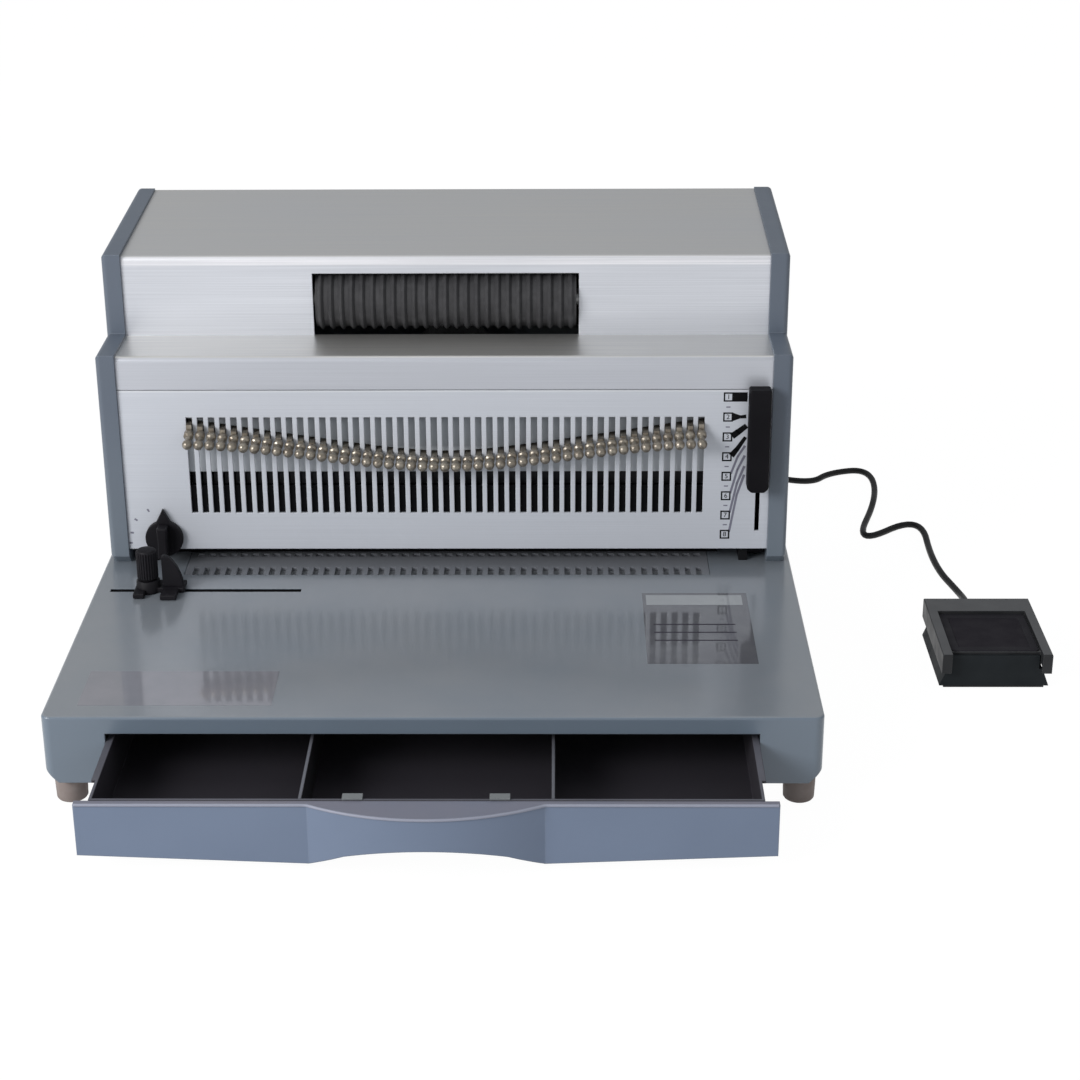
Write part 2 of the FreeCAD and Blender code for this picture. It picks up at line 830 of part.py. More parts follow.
def drive_belt():
    width = pulley_width - 1
    inner_radius = (pulley_radius + running) / math.cos(math.pi / barrel_sides)
    inner = loop_solid(inner_radius, pulley_x - 1, width + 3)
    return less(loop_solid(inner_radius + belt_thick, pulley_x + 0.5, width), inner)


# Coil size lever

def lever_grip():
    """Flat-sided bar with rounded long edges and its lower corners cut."""
    x = lever_x - lever_offset
    front = lever_y - lever_depth / 2
    outline = [V(x - lever_half, front, lever_bottom + lever_cut),
               V(x - lever_half + lever_cut, front, lever_bottom),
               V(x + lever_half - lever_cut, front, lever_bottom),
               V(x + lever_half, front, lever_bottom + lever_cut),
               V(x + lever_half, front, lever_top), V(x - lever_half, front, lever_top)]
    grip = rounded(prism(outline, BACK, lever_depth), lever_edge, lambda e: runs_along(e, UP))
    stem = box((lever_x - lever_stem / 2, lever_x + lever_stem / 2), (lever_y, lever_rail_y - 6),
               (lever_stem_bottom, lever_stem_top))
    return joined(grip, stem)


def lever_slider():
    block = box((frame_inner + frame_thick + gap, head_half - gap), (lever_rail_y - 6, lever_rail_y + 5),
                (lever_stem_bottom - 4, lever_stem_top + 4))
    return less(block, rod(lever_rail_radius + running, V(lever_rail_x, lever_rail_y, 0), UP, frame_top))


def lever_rail():
    low, high = lever_rail_bottom, lever_rail_top
    pieces = [barrel(lever_rail_radius, V(lever_rail_x, lever_rail_y, low + 2), UP, high - low - 4)]
    for z in (low, high - lever_rail_end):
        pieces.append(box((frame_inner + frame_thick, lever_rail_x + 4), (lever_rail_y - 5, lever_rail_y + 5),
                          (z, z + lever_rail_end)))
    return joined(*pieces)


# Margin knob and backstop

def margin_knob():
    disc = rod(dial_radius, V(dial_x, -dial_depth - gap, dial_z), BACK, dial_depth)
    pointer = prism([V(dial_x - pointer_half, -dial_depth - gap, dial_z + dial_radius - 1.5),
                     V(dial_x, -dial_depth - gap, pointer_tip),
                     V(dial_x + pointer_half, -dial_depth - gap, dial_z + dial_radius - 1.5),
                     V(dial_x + pointer_half, -dial_depth - gap, dial_z),
                     V(dial_x - pointer_half, -dial_depth - gap, dial_z)], BACK, dial_depth)
    bar = box((dial_x - dial_bar_half, dial_x + dial_bar_half), (-dial_depth - gap - dial_bar_depth, -dial_depth),
              (dial_z - dial_radius + 1, dial_z + dial_radius - 1))
    return joined(disc, pointer, bar)


def knob_shaft():
    shaft = barrel(dial_shaft_radius, V(dial_x, -gap, dial_z), BACK, cam_rear + gap)
    cam = barrel(cam_radius, V(dial_x, cam_front, dial_z), BACK, cam_rear - cam_front)
    return joined(shaft, cam)


def backstop():
    """Bar at the back of the throat with two arms and a pad that the knob's cam pushes."""
    floor = base_top + gap
    bar = box((-backstop_half, backstop_half), (backstop_face, backstop_face + backstop_thick),
              (floor, backstop_top))
    pad_front = cam_rear + gap
    pad_rear = pad_front + backstop_arm_thick
    left = dial_x - backstop_pad_half
    link = box((left, -backstop_half + 1), (backstop_face, pad_rear), (floor, backstop_top))
    pad = box((left, dial_x + backstop_pad_half), (pad_front, pad_rear), (floor, dial_z + cam_radius))
    arm = box((backstop_arm_x - backstop_arm_half, backstop_arm_x + backstop_arm_half),
              (backstop_face, backstop_arm_rear), (floor, floor + backstop_arm_thick))
    return joined(bar, link, pad, *both_sides(arm))


def backstop_guides():
    """Two staples that hold the arms of the backstop down and straight."""
    inner = backstop_arm_half + gap
    tunnel_top = base_top + gap + backstop_arm_thick + gap
    outer = inner + staple_wall
    staple = box((backstop_arm_x - outer, backstop_arm_x + outer), (staple_front, staple_rear),
                 (base_top, tunnel_top + staple_wall))
    tunnel = box((backstop_arm_x - inner, backstop_arm_x + inner), (staple_front - 1, staple_rear + 1),
                 (base_top, tunnel_top))
    return group(both_sides(less(staple, tunnel)))


# Side guide

def side_guide_body():
    low = base_top + gap
    y = guide_slot_y
    top = low + guide_foot
    foot = box((guide_left, guide_right), (y - 4, guide_rear), (low, top))
    toe_left = box((guide_left, guide_left + toe_left_width), (guide_front, y - 3), (low, top))
    toe_right = box((guide_right - 1 - toe_right_width, guide_right - 1), (guide_front, y - 3), (low, top))
    boss = flat_sided(screw_flutes, 2 * screw_radius + 3, V(screw_x, y, low), UP, boss_height)
    root = guide_right - 15
    profile = [(root, 0), (root, fin_height), (root + 5, fin_height - 1), (root + 10, fin_height - 7),
               (root + 13, fin_height - 15), (guide_right, 0)]
    front = y - fin_thick / 2
    fin = prism([V(x, front, low + z) for x, z in profile], BACK, fin_thick)
    bridge = box((screw_x + screw_radius, root + 1), (front, y + fin_thick / 2), (low, low + boss_height + 3))
    bridge = less(bridge, rod(screw_radius + gap, V(screw_x, y, low + boss_height), UP, boss_height))
    bore = rod(screw_shank + gap, V(screw_x, y, low - 1), UP, boss_height + 5)
    return less(joined(foot, toe_left, toe_right, boss, fin, bridge), bore)


def guide_thumb_screw():
    low = base_top + gap + boss_height + gap
    head = flat_sided(screw_flutes, 2 * screw_radius, V(screw_x, guide_slot_y, low), UP, screw_top - low)
    bottom = base_top - base_wall - gap - nut_thick
    shank = barrel(screw_shank, V(screw_x, guide_slot_y, bottom), UP, low - bottom)
    return joined(head, shank)


def guide_clamp_nut():
    top = base_top - base_wall - gap
    plate = box((screw_x - 8, screw_x + 8), (guide_slot_y - 5, guide_slot_y + 5), (top - nut_thick, top))
    bore = rod(screw_shank + running, V(screw_x, guide_slot_y, top - nut_thick - 1), UP, nut_thick + 2)
    return less(plate, bore)


# Foot pedal

def pedal_base():
    """Open tray with flared sides; its front wall stands before the edge of the tread."""
    half = pedal_inner_half
    wall = pedal_wall
    low, high = pedal_sole, pedal_arm_bottom
    front, rear = pedal_base_front, pedal_base_rear

    def ring(grow, z):
        corners = [V(pedal_x - half - grow, front, z), V(pedal_x + half + grow, front, z),
                   V(pedal_x + half + grow, rear, z), V(pedal_x - half - grow, rear, z)]
        return Part.makePolygon(corners + [corners[0]])

    skirt = Part.makeLoft([ring(pedal_flare, low), ring(0, high)], True, True)
    sides = box((pedal_x - half, pedal_x + half), (tread_front + pedal_skin + pedal_seam, rear),
                (high, pedal_base_top))
    front_wall = box((pedal_x - half + wall, pedal_x + half - wall), (front, front + wall), (high - 1, pedal_front_top))
    hollow = box((pedal_x - half + wall, pedal_x + half - wall), (front + wall, rear - wall),
                 (low + wall, pedal_top))
    cheeks = box((pedal_x - half, pedal_x + half), (pedal_hinge_y - 4, pedal_hinge_y + 4),
                 (high, pedal_hinge_z + 2.7))
    pin = barrel(pedal_pin_radius, V(pedal_x - half, pedal_hinge_y, pedal_hinge_z), ACROSS, 2 * half)
    gland = flat_sided(gland_sides, 2 * pedal_gland_neck, V(pedal_x, rear - wall - 1, pedal_exit_z), BACK,
                       wall + 2)
    return less(joined(skirt, sides, cheeks, front_wall), hollow, pin, gland)


def pedal_hinge_pin():
    half = pedal_inner_half - pedal_wall
    return barrel(pedal_pin_radius, V(pedal_x - half, pedal_hinge_y, pedal_hinge_z), ACROSS, 2 * half)


def pedal_lid():
    """Rocking cover: a rim on three sides round a lower tread, hinged at the rear."""
    x0, x1 = pedal_x - pedal_half, pedal_x + pedal_half
    floor = pedal_arm_bottom - 1
    outer = box((x0, x1), (pedal_arm_front, pedal_rear), (pedal_arm_bottom, pedal_top))
    outer = rounded(outer, pedal_edge, lambda e: all(abs(v.Z - pedal_top) < 0.01 for v in e.Vertexes))
    under = box((x0 + pedal_skin, x1 - pedal_skin), (tread_front + pedal_skin, pedal_rear - pedal_skin),
                (floor, tread_top - tread_thick))
    well = box((x0 + pedal_rim, x1 - pedal_rim), (pedal_arm_front - 1, tread_rear), (tread_top, pedal_top + 1))
    mouth = box((x0 + pedal_rim, x1 - pedal_rim), (pedal_arm_front - 1, tread_front), (floor, pedal_top + 1))
    hollow_arms = box((x0 + pedal_skin, x1 - pedal_skin),
                      (pedal_arm_front + pedal_skin, tread_front + pedal_skin + 1),
                      (floor, pedal_arm_bottom + 4))
    lid = less(outer, under, well, mouth, hollow_arms)
    pin = rod(pedal_pin_radius + running, V(x0, pedal_hinge_y, pedal_hinge_z), ACROSS, 2 * pedal_half)
    lugs = []
    for side in (-1, 1):
        x = pedal_x + side * (pedal_inner_half - lug_inset)
        lug = box((x - lug_half, x + lug_half), (pedal_hinge_y - 3, pedal_hinge_y + 2),
                  (pedal_hinge_z - 3, tread_top - tread_thick + 0.5))
        lugs.append(less(lug, pin))
    return joined(lid, *lugs)


def pedal_pad():
    """Mat on the tread with a shallow panel in its middle."""
    half = pedal_half - pedal_rim - pad_border
    front, rear = tread_front + pad_border, tread_rear - pad_border
    mat = box((pedal_x - half, pedal_x + half), (front, rear), (tread_top, tread_top + pad_thick))
    inset = half - pad_panel
    panel = box((pedal_x - inset, pedal_x + inset), (front + pad_panel, rear - pad_panel),
                (tread_top + pad_thick - pad_panel_depth, pedal_top))
    return less(mat, panel)


def pedal_sole_pad():
    half = pedal_inner_half + 1.5
    return box((pedal_x - half, pedal_x + half), (pedal_base_front + 1, pedal_base_rear - 1), (0, pedal_sole))


def pedal_switch():
    y = switch_y
    floor = pedal_sole + pedal_wall
    body = box((pedal_x - 10, pedal_x + 10), (y - 5, y + 5), (floor, floor + 10.5))
    button = box((pedal_x - 2, pedal_x + 2), (y - 2, y + 2), (floor + 9.5, floor + 13.3))
    return joined(body, button)


def pedal_spring():
    """Torsion spring round the hinge pin, drawn as its sleeve and one leg."""
    half = 6.0
    coil = flat_sided(12, 2 * pedal_pin_radius + 1.6, V(pedal_x - half, pedal_hinge_y, pedal_hinge_z), ACROSS,
                      2 * half)
    leg = box((pedal_x - half, pedal_x - half + 1.2), (pedal_hinge_y - 1, pedal_hinge_y),
              (pedal_sole + pedal_wall, pedal_hinge_z - 1))
    bore = barrel(pedal_pin_radius, V(pedal_x - half - 1, pedal_hinge_y, pedal_hinge_z), ACROSS, 2 * half + 2)
    return less(joined(coil, leg), bore)


# Cable and glands

def machine_gland():
    """Flange, neck and tapered sleeve where the pedal cable leaves the base."""
    z = machine_exit.z
    x = machine_exit.x
    flange = flat_sided(6, 2 * machine_gland_neck + 5, V(x, base_rear, z), BACK, 3)
    neck = flat_sided(gland_sides, 2 * machine_gland_neck, V(x, base_rear - base_wall - 2, z), BACK, base_wall + 2)
    sleeve = stepped(gland_sides, V(x, base_rear + 3, z), BACK,
                     [(0, 2 * machine_gland_neck - 1.2), (machine_exit.y - base_rear - 3, cable + 1.6)])
    return joined(flange, neck, sleeve)


def pedal_gland():
    z = pedal_exit_z
    neck = flat_sided(gland_sides, 2 * pedal_gland_neck, V(pedal_x, pedal_base_rear - 4, z), BACK, 4)
    sleeve = stepped(gland_sides, V(pedal_x, pedal_base_rear, z), BACK,
                     [(0, 2 * pedal_gland_neck), (pedal_exit_y - pedal_base_rear, cable + 1.2)])
    return joined(neck, sleeve)


def coil_centre():
    return V(coil_start.x + coil_radius, coil_start.y + cable, 0)


def cable_from_machine_points():
    exit = machine_exit
    return [exit, exit + V(0.5, 17, -1), V(-57, 218, 17.5), V(-50, 236, 6.2), V(-20, 240, cable_rest),
            V(20, 234, cable_rest), V(65, 231, cable_rest), V(105, 234, cable_rest),
            V(120, 248, cable_rest), coil_start]


def cable_to_pedal_points():
    centre = coil_centre()
    top = cable_rest + coil_lift
    start = V(centre.x + cable, centre.y + coil_radius, top)
    return [start, start + V(17, 0, -0.6), V(189, 287, 3.4), V(208, 264, cable_rest),
            V(240, 250.5, cable_rest), V(254, 270, cable_rest), V(283, 277.2, cable_rest),
            V(282.5, 226, cable_rest), V(256.5, 142.5, cable_rest), V(307, 193, cable_rest),
            V(302.8, 112, cable_rest), V(313.4, 62.5, 3.0), V(pedal_x, 44, pedal_exit_z - 0.3),
            V(pedal_x, pedal_exit_y, pedal_exit_z)]


def fillet_route(points, name):
    """Straight runs joined by arcs: wide ones as the runs allow, and narrow ones where it turns back."""
    edges = []
    radii = []
    here = points[0]
    for i in range(1, len(points) - 1):
        before = points[i - 1] - points[i]
        after = points[i + 1] - points[i]
        turn = math.pi - before.getAngle(after)
        reach = 0.45 * min(before.Length, after.Length)
        if turn > math.pi / 2:
            reach = min(reach, sharp_bend * math.tan(turn / 2))
        radii.append(reach / math.tan(turn / 2))
        before.normalize()
        after.normalize()
        start = points[i] + before * reach
        end = points[i] + after * reach
        bisector = before + after
        bisector.normalize()
        middle = points[i] + bisector * (radii[-1] / math.cos(turn / 2) - radii[-1])
        edges.append(Part.LineSegment(here, start).toShape())
        edges.append(Part.Arc(start, middle, end).toShape())
        here = end
    edges.append(Part.LineSegment(here, points[-1]).toShape())
    print(name, "radii", [round(radius, 1) for radius in radii])
    return Part.Wire(edges)


def cable_profile(sides, start, along):
    """Flats whose corners lie on the cable's circle."""
    return flat_ring(sides, cable * math.cos(math.pi / sides), start, along)


def cable_tube(points, name):
    path = fillet_route(points, name)
    along = points[1] - points[0]
    along.normalize()
    profile = cable_profile(cable_sides, points[0], along)
    tube = path.makePipeShell([profile], True, False)
    print(name, "length", round(path.Length, 1), "volume over section times length",
          round(tube.Volume / (Part.Face(profile).Area * path.Length), 4))
    return tube


def coil_spot(turn):
    """Centre of the cable after this many turns: in on the table, then out again on top."""
    centre = coil_centre()
    angle = math.pi - 2 * math.pi * turn
    ease = 0.25
    climb = min(max((turn - layer_turns + ease) / (2 * ease), 0), 1)
    z = cable_rest + coil_lift * climb * climb * (3 - 2 * climb)
    inward = turn if turn < layer_turns else 2 * layer_turns - turn
    if abs(turn - layer_turns) < ease:
        part = (turn - layer_turns) / ease
        inward = layer_turns - ease * (part * part + 1) / 2
    radius = coil_radius - coil_step * inward
    return centre + V(radius * math.cos(angle), radius * math.sin(angle), z)


def coil_heading(turn):
    if turn <= 0:
        return V(0, 1, 0)
    if turn >= 2 * layer_turns:
        return V(1, 0, 0)
    step = 1e-5
    heading = coil_spot(turn + step) - coil_spot(turn - step)
    heading.normalize()
    return heading


def tangent_arc(start, heading, end):
    chord = end - start
    normal = heading.cross(chord)
    normal.normalize()
    inward = normal.cross(heading)
    inward.normalize()
    radius = chord.dot(chord) / (2 * chord.dot(inward))
    centre = start + inward * radius
    middle = (start + end) * 0.5 - centre
    middle.normalize()
    return Part.Arc(start, centre + middle * abs(radius), end).toShape()


def biarc(start, heading, end, last_heading):
    """Two tangent arcs from one place and heading to another."""
    chord = end - start
    both = heading + last_heading
    spread = 2 * (1 - heading.dot(last_heading))
    reach = (-chord.dot(both) + math.sqrt(chord.dot(both) ** 2 + spread * chord.dot(chord))) / spread
    knot = (start + end + (heading - last_heading) * reach) * 0.5
    return [tangent_arc(start, heading, knot), tangent_arc(end, last_heading * -1, knot)]


def coil_path():
    total = 2 * layer_turns
    steps = [0.5 * i for i in range(int(total * 2) + 1)]
    if steps[-1] < total:
        steps.append(total)
    lead_in = coil_spot(0) - V(0, cable, 0)
    lead_out = coil_spot(total) + V(cable, 0, 0)
    edges = [Part.LineSegment(lead_in, coil_spot(0)).toShape()]
    for a, b in zip(steps, steps[1:]):
        edges += biarc(coil_spot(a), coil_heading(a), coil_spot(b), coil_heading(b))
    edges.append(Part.LineSegment(coil_spot(total), lead_out).toShape())
    return Part.Wire(Part.__sortEdges__(edges))


def coil_least_gap():
    per_turn = 72
    spots = [coil_spot(i / per_turn) for i in range(int(2 * layer_turns * per_turn) + 1)]
    least = min((spots[i] - spots[j]).Length for i in range(len(spots))
                for j in range(i + per_turn // 4, len(spots)))
    return least - cable


def cable_coil():
    """The cable put away in a neat coil, wound as one tube with flats."""
    path = coil_path()
    start = coil_spot(0) - V(0, cable, 0)
    profile = cable_profile(coil_sides, start, BACK)
    tube = path.makePipeShell([profile], True, False)
    print("cable_coil length", round(path.Length, 1), "volume over section times length",
          round(tube.Volume / (Part.Face(profile).Area * path.Length), 4),
          "least gap", round(coil_least_gap(), 2))
    return tube


# Rear sockets

def mains_inlet():
    y = base_rear
    w, h = inlet_half_width, inlet_half_height
    flange = box((inlet_x - w - 3, inlet_x + w + 3), (y, y + 2), (inlet_z - h - 3, inlet_z + h + 3))
    case = box((inlet_x - w, inlet_x + w), (y - 20, y), (inlet_z - h, inlet_z + h))
    socket = box((inlet_x - w + 2, inlet_x + w - 2), (y - 17, y + 3), (inlet_z - h + 2, inlet_z + h - 2))
    body = less(joined(flange, case), socket)
    blades = []
    for dx, dz in ((-7, -1.5), (0, 2.5), (7, -1.5)):
        blades.append(box((inlet_x + dx - 1, inlet_x + dx + 1), (y - 18, y - 2),
                          (inlet_z + dz - 2, inlet_z + dz + 2)))
    return joined(body, *blades)


def rocker_frame():
    y = base_rear
    w, h = rocker_half_width, rocker_half_height
    flange = box((rocker_x - w - 2, rocker_x + w + 2), (y, y + 1.5), (inlet_z - h - 2, inlet_z + h + 2))
    case = box((rocker_x - w, rocker_x + w), (y - 14, y), (inlet_z - h, inlet_z + h))
    well = box((rocker_x - w + rocker_wall, rocker_x + w - rocker_wall), (y - 8, y + 3),
               (inlet_z - h + 1, inlet_z + h - 1))
    return less(joined(flange, case), well)


def rocker_button():
    """Rocker with two tilted faces, pressed in at its lower half."""
    y = base_rear
    w = rocker_half_width - rocker_wall - gap
    reach = rocker_half_height - 2.4
    points = [(y - 6, inlet_z - 3), (y - 6, inlet_z + 3), (y - 1, inlet_z + reach), (y + 3.6, inlet_z + reach),
              (y + 1.6, inlet_z), (y + 1.0, inlet_z - reach), (y - 1, inlet_z - reach)]
    return prism([V(rocker_x - w, a, b) for a, b in points], ACROSS, 2 * w)


def mirrored(shape):
    return shape.mirror(V(0, 0, 0), ACROSS)


def build():
    right_cheek = cheek()
    return {
        "base_cover": base_cover(),
        "base_rails": group(both_sides(base_rail())),
        "drawer_runners": group(both_sides(drawer_runner())),
        "chassis_floor": chassis_floor(),
        "rubber_feet": rubber_feet(),
        "drawer_tray": drawer_tray(),
        "drawer_dividers": drawer_dividers(),
        "drawer_front": drawer_front(),
        "drawer_clips": drawer_clips(),
        "cheek_right": right_cheek,
        "cheek_left": mirrored(right_cheek),
        "head_cover": head_cover(),
        "slotted_panel": slotted_panel(),
        "rear_cover": rear_cover(),
        "side_frames": group(both_sides(side_frame())),
        "die_strip": die_strip(),
        "die_bed": die_bed(),
        "guide_block": guide_block(),
        "guide_back_plate": guide_back_plate(),
        "guide_columns": guide_columns(),
        "press_beam": press_beam(),
        "punch_pins": punch_pins(),
        "pin_pullers": pin_pullers(),
        "press_shaft": press_shaft(),
        "shaft_bearings": shaft_bearings(),
        "punch_gearmotor": punch_gearmotor(),
        "gearmotor_bracket": gearmotor_bracket(),
        "roller_rubber": roller_rubber(),
        "roller_shaft": roller_shaft(),
        "roller_rail": roller_rail(),
        "roller_bracket_left": mirrored(roller_bracket(roller_rail_rear)),
        "roller_bracket_right": roller_bracket_right(),
        "roller_motor": roller_motor(),
        "roller_motor_shaft": roller_motor_shaft(),
        "drive_belt": drive_belt(),
        "lever_grip": lever_grip(),
        "lever_slider": lever_slider(),
        "lever_rail": lever_rail(),
        "margin_knob": margin_knob(),
        "knob_shaft": knob_shaft(),
        "backstop": backstop(),
        "backstop_guides": backstop_guides(),
        "side_guide_body": side_guide_body(),
        "guide_thumb_screw": guide_thumb_screw(),
        "guide_clamp_nut": guide_clamp_nut(),
        "pedal_base": pedal_base(),
        "pedal_hinge_pin": pedal_hinge_pin(),
        "pedal_lid": pedal_lid(),
        "pedal_pad": pedal_pad(),
        "pedal_sole_pad": pedal_sole_pad(),
        "pedal_switch": pedal_switch(),
        "machine_gland": machine_gland(),
        "pedal_gland": pedal_gland(),
        "cable_from_machine": cable_tube(cable_from_machine_points(), "cable_from_machine"),
        "cable_coil": cable_coil(),
        "cable_to_pedal": cable_tube(cable_to_pedal_points(), "cable_to_pedal"),
        "mains_inlet": mains_inlet(),
        "rocker_frame": rocker_frame(),
        "rocker_button": rocker_button(),
        "pedal_spring": pedal_spring(),
    }


os.makedirs("parts", exist_ok=True)
for name, shape in build().items():
    shape.exportStep("parts/" + name + ".step")
    solids = shape.Solids
    print(name, len(solids), "valid" if shape.isValid() else "NOT VALID")
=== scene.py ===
import math

import bmesh
import bpy
from mathutils import Matrix, Vector


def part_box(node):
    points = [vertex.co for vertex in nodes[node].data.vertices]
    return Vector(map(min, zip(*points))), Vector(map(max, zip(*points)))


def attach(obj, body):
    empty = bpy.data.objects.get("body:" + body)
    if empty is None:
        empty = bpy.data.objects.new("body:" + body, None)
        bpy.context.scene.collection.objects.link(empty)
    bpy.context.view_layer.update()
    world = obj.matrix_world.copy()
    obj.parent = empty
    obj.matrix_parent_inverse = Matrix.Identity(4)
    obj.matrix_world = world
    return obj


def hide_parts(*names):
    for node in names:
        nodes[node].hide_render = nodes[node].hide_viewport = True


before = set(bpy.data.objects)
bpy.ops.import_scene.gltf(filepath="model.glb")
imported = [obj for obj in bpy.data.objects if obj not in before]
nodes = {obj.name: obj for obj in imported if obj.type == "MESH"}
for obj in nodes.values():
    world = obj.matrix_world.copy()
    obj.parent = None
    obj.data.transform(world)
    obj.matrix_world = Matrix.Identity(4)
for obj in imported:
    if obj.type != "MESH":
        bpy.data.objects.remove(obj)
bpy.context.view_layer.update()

# Looks of the electric coil binding machine, in metres.
# X runs to the right, Y to the back and Z up. Z = 0 is the table.

MM = 0.001
RIGHT = Vector((1, 0, 0))
BACK = Vector((0, 1, 0))
UP = Vector((0, 0, 1))

# Camera
FRAME_PIXELS = 1080
FOCAL_PIXELS = 2302.2
CENTRE_PIXEL_X = 525.4
CENTRE_PIXEL_Y = 539.75
CAMERA_SPOT = Vector((0.06412, -1.22994, 0.59971))
CAMERA_YAW = math.radians(-0.87)
CAMERA_DROP = math.radians(23.38)
CAMERA_ROLL = math.radians(-0.38)
SENSOR = 36.0

# Pedal cable
CABLE = 4.2 * MM
REST = CABLE / 2
COIL_CENTRE = Vector((147.0, 266.2, 0)) * MM
COIL_RADIUS = 27.0 * MM
COIL_STEP = 4.75 * MM
COIL_LIFT = 1.1 * CABLE
LAYER_TURNS = 1.125
COIL_EASE = 0.25
POINTS_PER_TURN = 20
REAR_FACE = 168.0 * MM
PEDAL_REAR = 10.5 * MM

# Row of pull knobs
KNOB_COUNT = 47
KNOB_PITCH = 6.35 * MM
CURVE_LOW = 118.5 * MM
CURVE_RISE = 19.5 * MM
CURVE_BEND = 0.2
HEAD_FRONT = -14.8 * MM
HEAD_BACK = -1.4 * MM
HEAD_LOW = 118.1 * MM
HEAD_RISE = 12.8 * MM
HEAD_DROOP = 2.0 * MM
HEAD_BEND = 1.9
TAIL_HALF = 1.5 * MM
TAIL_HALF_HEIGHT = 2.5 * MM

# Coil roller
ROLLER_HALF = 75.0 * MM
ROLLER_RIBS = 25
ROLLER_RADIUS = 18.2 * MM
ROLLER_GROOVE = 1.6 * MM
ROLLER_BORE = 8.0 * MM

# Places on the machine
BASE_TOP = 53.0 * MM
DIAL_SPOT = Vector((-164.6, 0, 70.0)) * MM
DIAL_RADIUS = 11.0 * MM
POINTER_TIP = 18.4 * MM
LEVER_X = 178.3 * MM
LEVER_FRONT = -13.0 * MM
LEVER_BACK = -3.0 * MM
LEVER_BOTTOM = 102.0 * MM
LEVER_TOP = 163.8 * MM
LEVER_HALF = 6.2 * MM
LEVER_CUT = 2.4 * MM
STEM_X = (178.6 * MM, 180.4 * MM)
STEM_Y = (LEVER_BACK - MM, 4.0 * MM)
STEM_Z = (114.0 * MM, 122.0 * MM)
GUIDE_GAP = 0.3 * MM
GUIDE_FOOT_THICK = 3.0 * MM
SCREW_SPOT = Vector((-169.0, -38.0, 60.6)) * MM
SCREW_RADIUS = 6.0 * MM
SCREW_FLUTES = 24
SCREW_TOP = 79.0 * MM
SHANK_END = 47.7 * MM
SHANK_LENGTH = 13.1 * MM
SHANK_RADIUS = 1.4 * MM
FRONT_HALF = 172.0 * MM
PULL_HALF = 58.0 * MM
PULL_BULGE = 14.5 * MM
FRONT_FACE = -256.5 * MM
FRONT_TOP = 38.6 * MM
FOOT_RADIUS = 8.6 * MM
FRONT_FOOT = (189.5, -180.0)
REAR_FOOT = (182.0, 155.0)

# Heights where painted light or shade changes
SOFT_CHANGE = 0.5 * MM
CHEEK_FOOT = 60.0 * MM
CHEEK_FADE = 90.0 * MM
LEDGE = 170.0 * MM
UPPER_FRONT = 179.0 * MM
HEAD_TOP = 200.0 * MM
TOP_EDGE = 221.5 * MM
PANEL_EDGE = 1.2 * MM
BEAM_SHADE = 122.0 * MM
TRAY_RIM = 30.0 * MM
DIVIDER_RIM = 20.0 * MM

# Printed marks
PRINT = 0.06 * MM
FILM = 0.1 * MM
NUMBER_SIZE = 4.0 * MM

# Floor, background and lights
FLOOR_HALF = 7.0
FLOOR_DROP = 0.1 * MM
FLOOR_SHADE = (0.6, 0.6, 0.6, 1)
FLOOR_WHITE = 1.07
FLOOR_WHITE_SHARE = 0.91
SKY_SHADE = (0.96, 0.98, 1.0, 1)
SKY_STRENGTH = 0.46
LAMP_TARGET = (0.0, 0.0, 0.1)


# Camera

def place_camera():
    """A camera that stands where the photographer stood."""
    ahead = Vector((math.sin(CAMERA_YAW) * math.cos(CAMERA_DROP),
                    math.cos(CAMERA_YAW) * math.cos(CAMERA_DROP), -math.sin(CAMERA_DROP)))
    level = Vector((math.cos(CAMERA_YAW), -math.sin(CAMERA_YAW), 0))
    above = level.cross(ahead)
    side = level * math.cos(CAMERA_ROLL) + above * math.sin(CAMERA_ROLL)
    top = above * math.cos(CAMERA_ROLL) - level * math.sin(CAMERA_ROLL)
    lens = bpy.data.cameras.new("camera")
    lens.sensor_width = SENSOR
    lens.lens = SENSOR * FOCAL_PIXELS / FRAME_PIXELS
    lens.shift_x = (FRAME_PIXELS / 2 - CENTRE_PIXEL_X) / FRAME_PIXELS
    lens.shift_y = (CENTRE_PIXEL_Y - FRAME_PIXELS / 2) / FRAME_PIXELS
    camera = bpy.data.objects.new("camera", lens)
    turn = Matrix((side, top, -ahead)).transposed().to_4x4()
    camera.matrix_world = Matrix.Translation(CAMERA_SPOT) @ turn
    bpy.context.scene.collection.objects.link(camera)
    bpy.context.scene.camera = camera


# Materials

def linear(value):
    """Linear light of one screen value from 0 to 255."""
    part = value / 255
    return part / 12.92 if part <= 0.04045 else ((part + 0.055) / 1.055) ** 2.4


def colour(red, green, blue):
    """A colour as it shows on a screen, each part from 0 to 255."""
    return (linear(red), linear(green), linear(blue), 1.0)


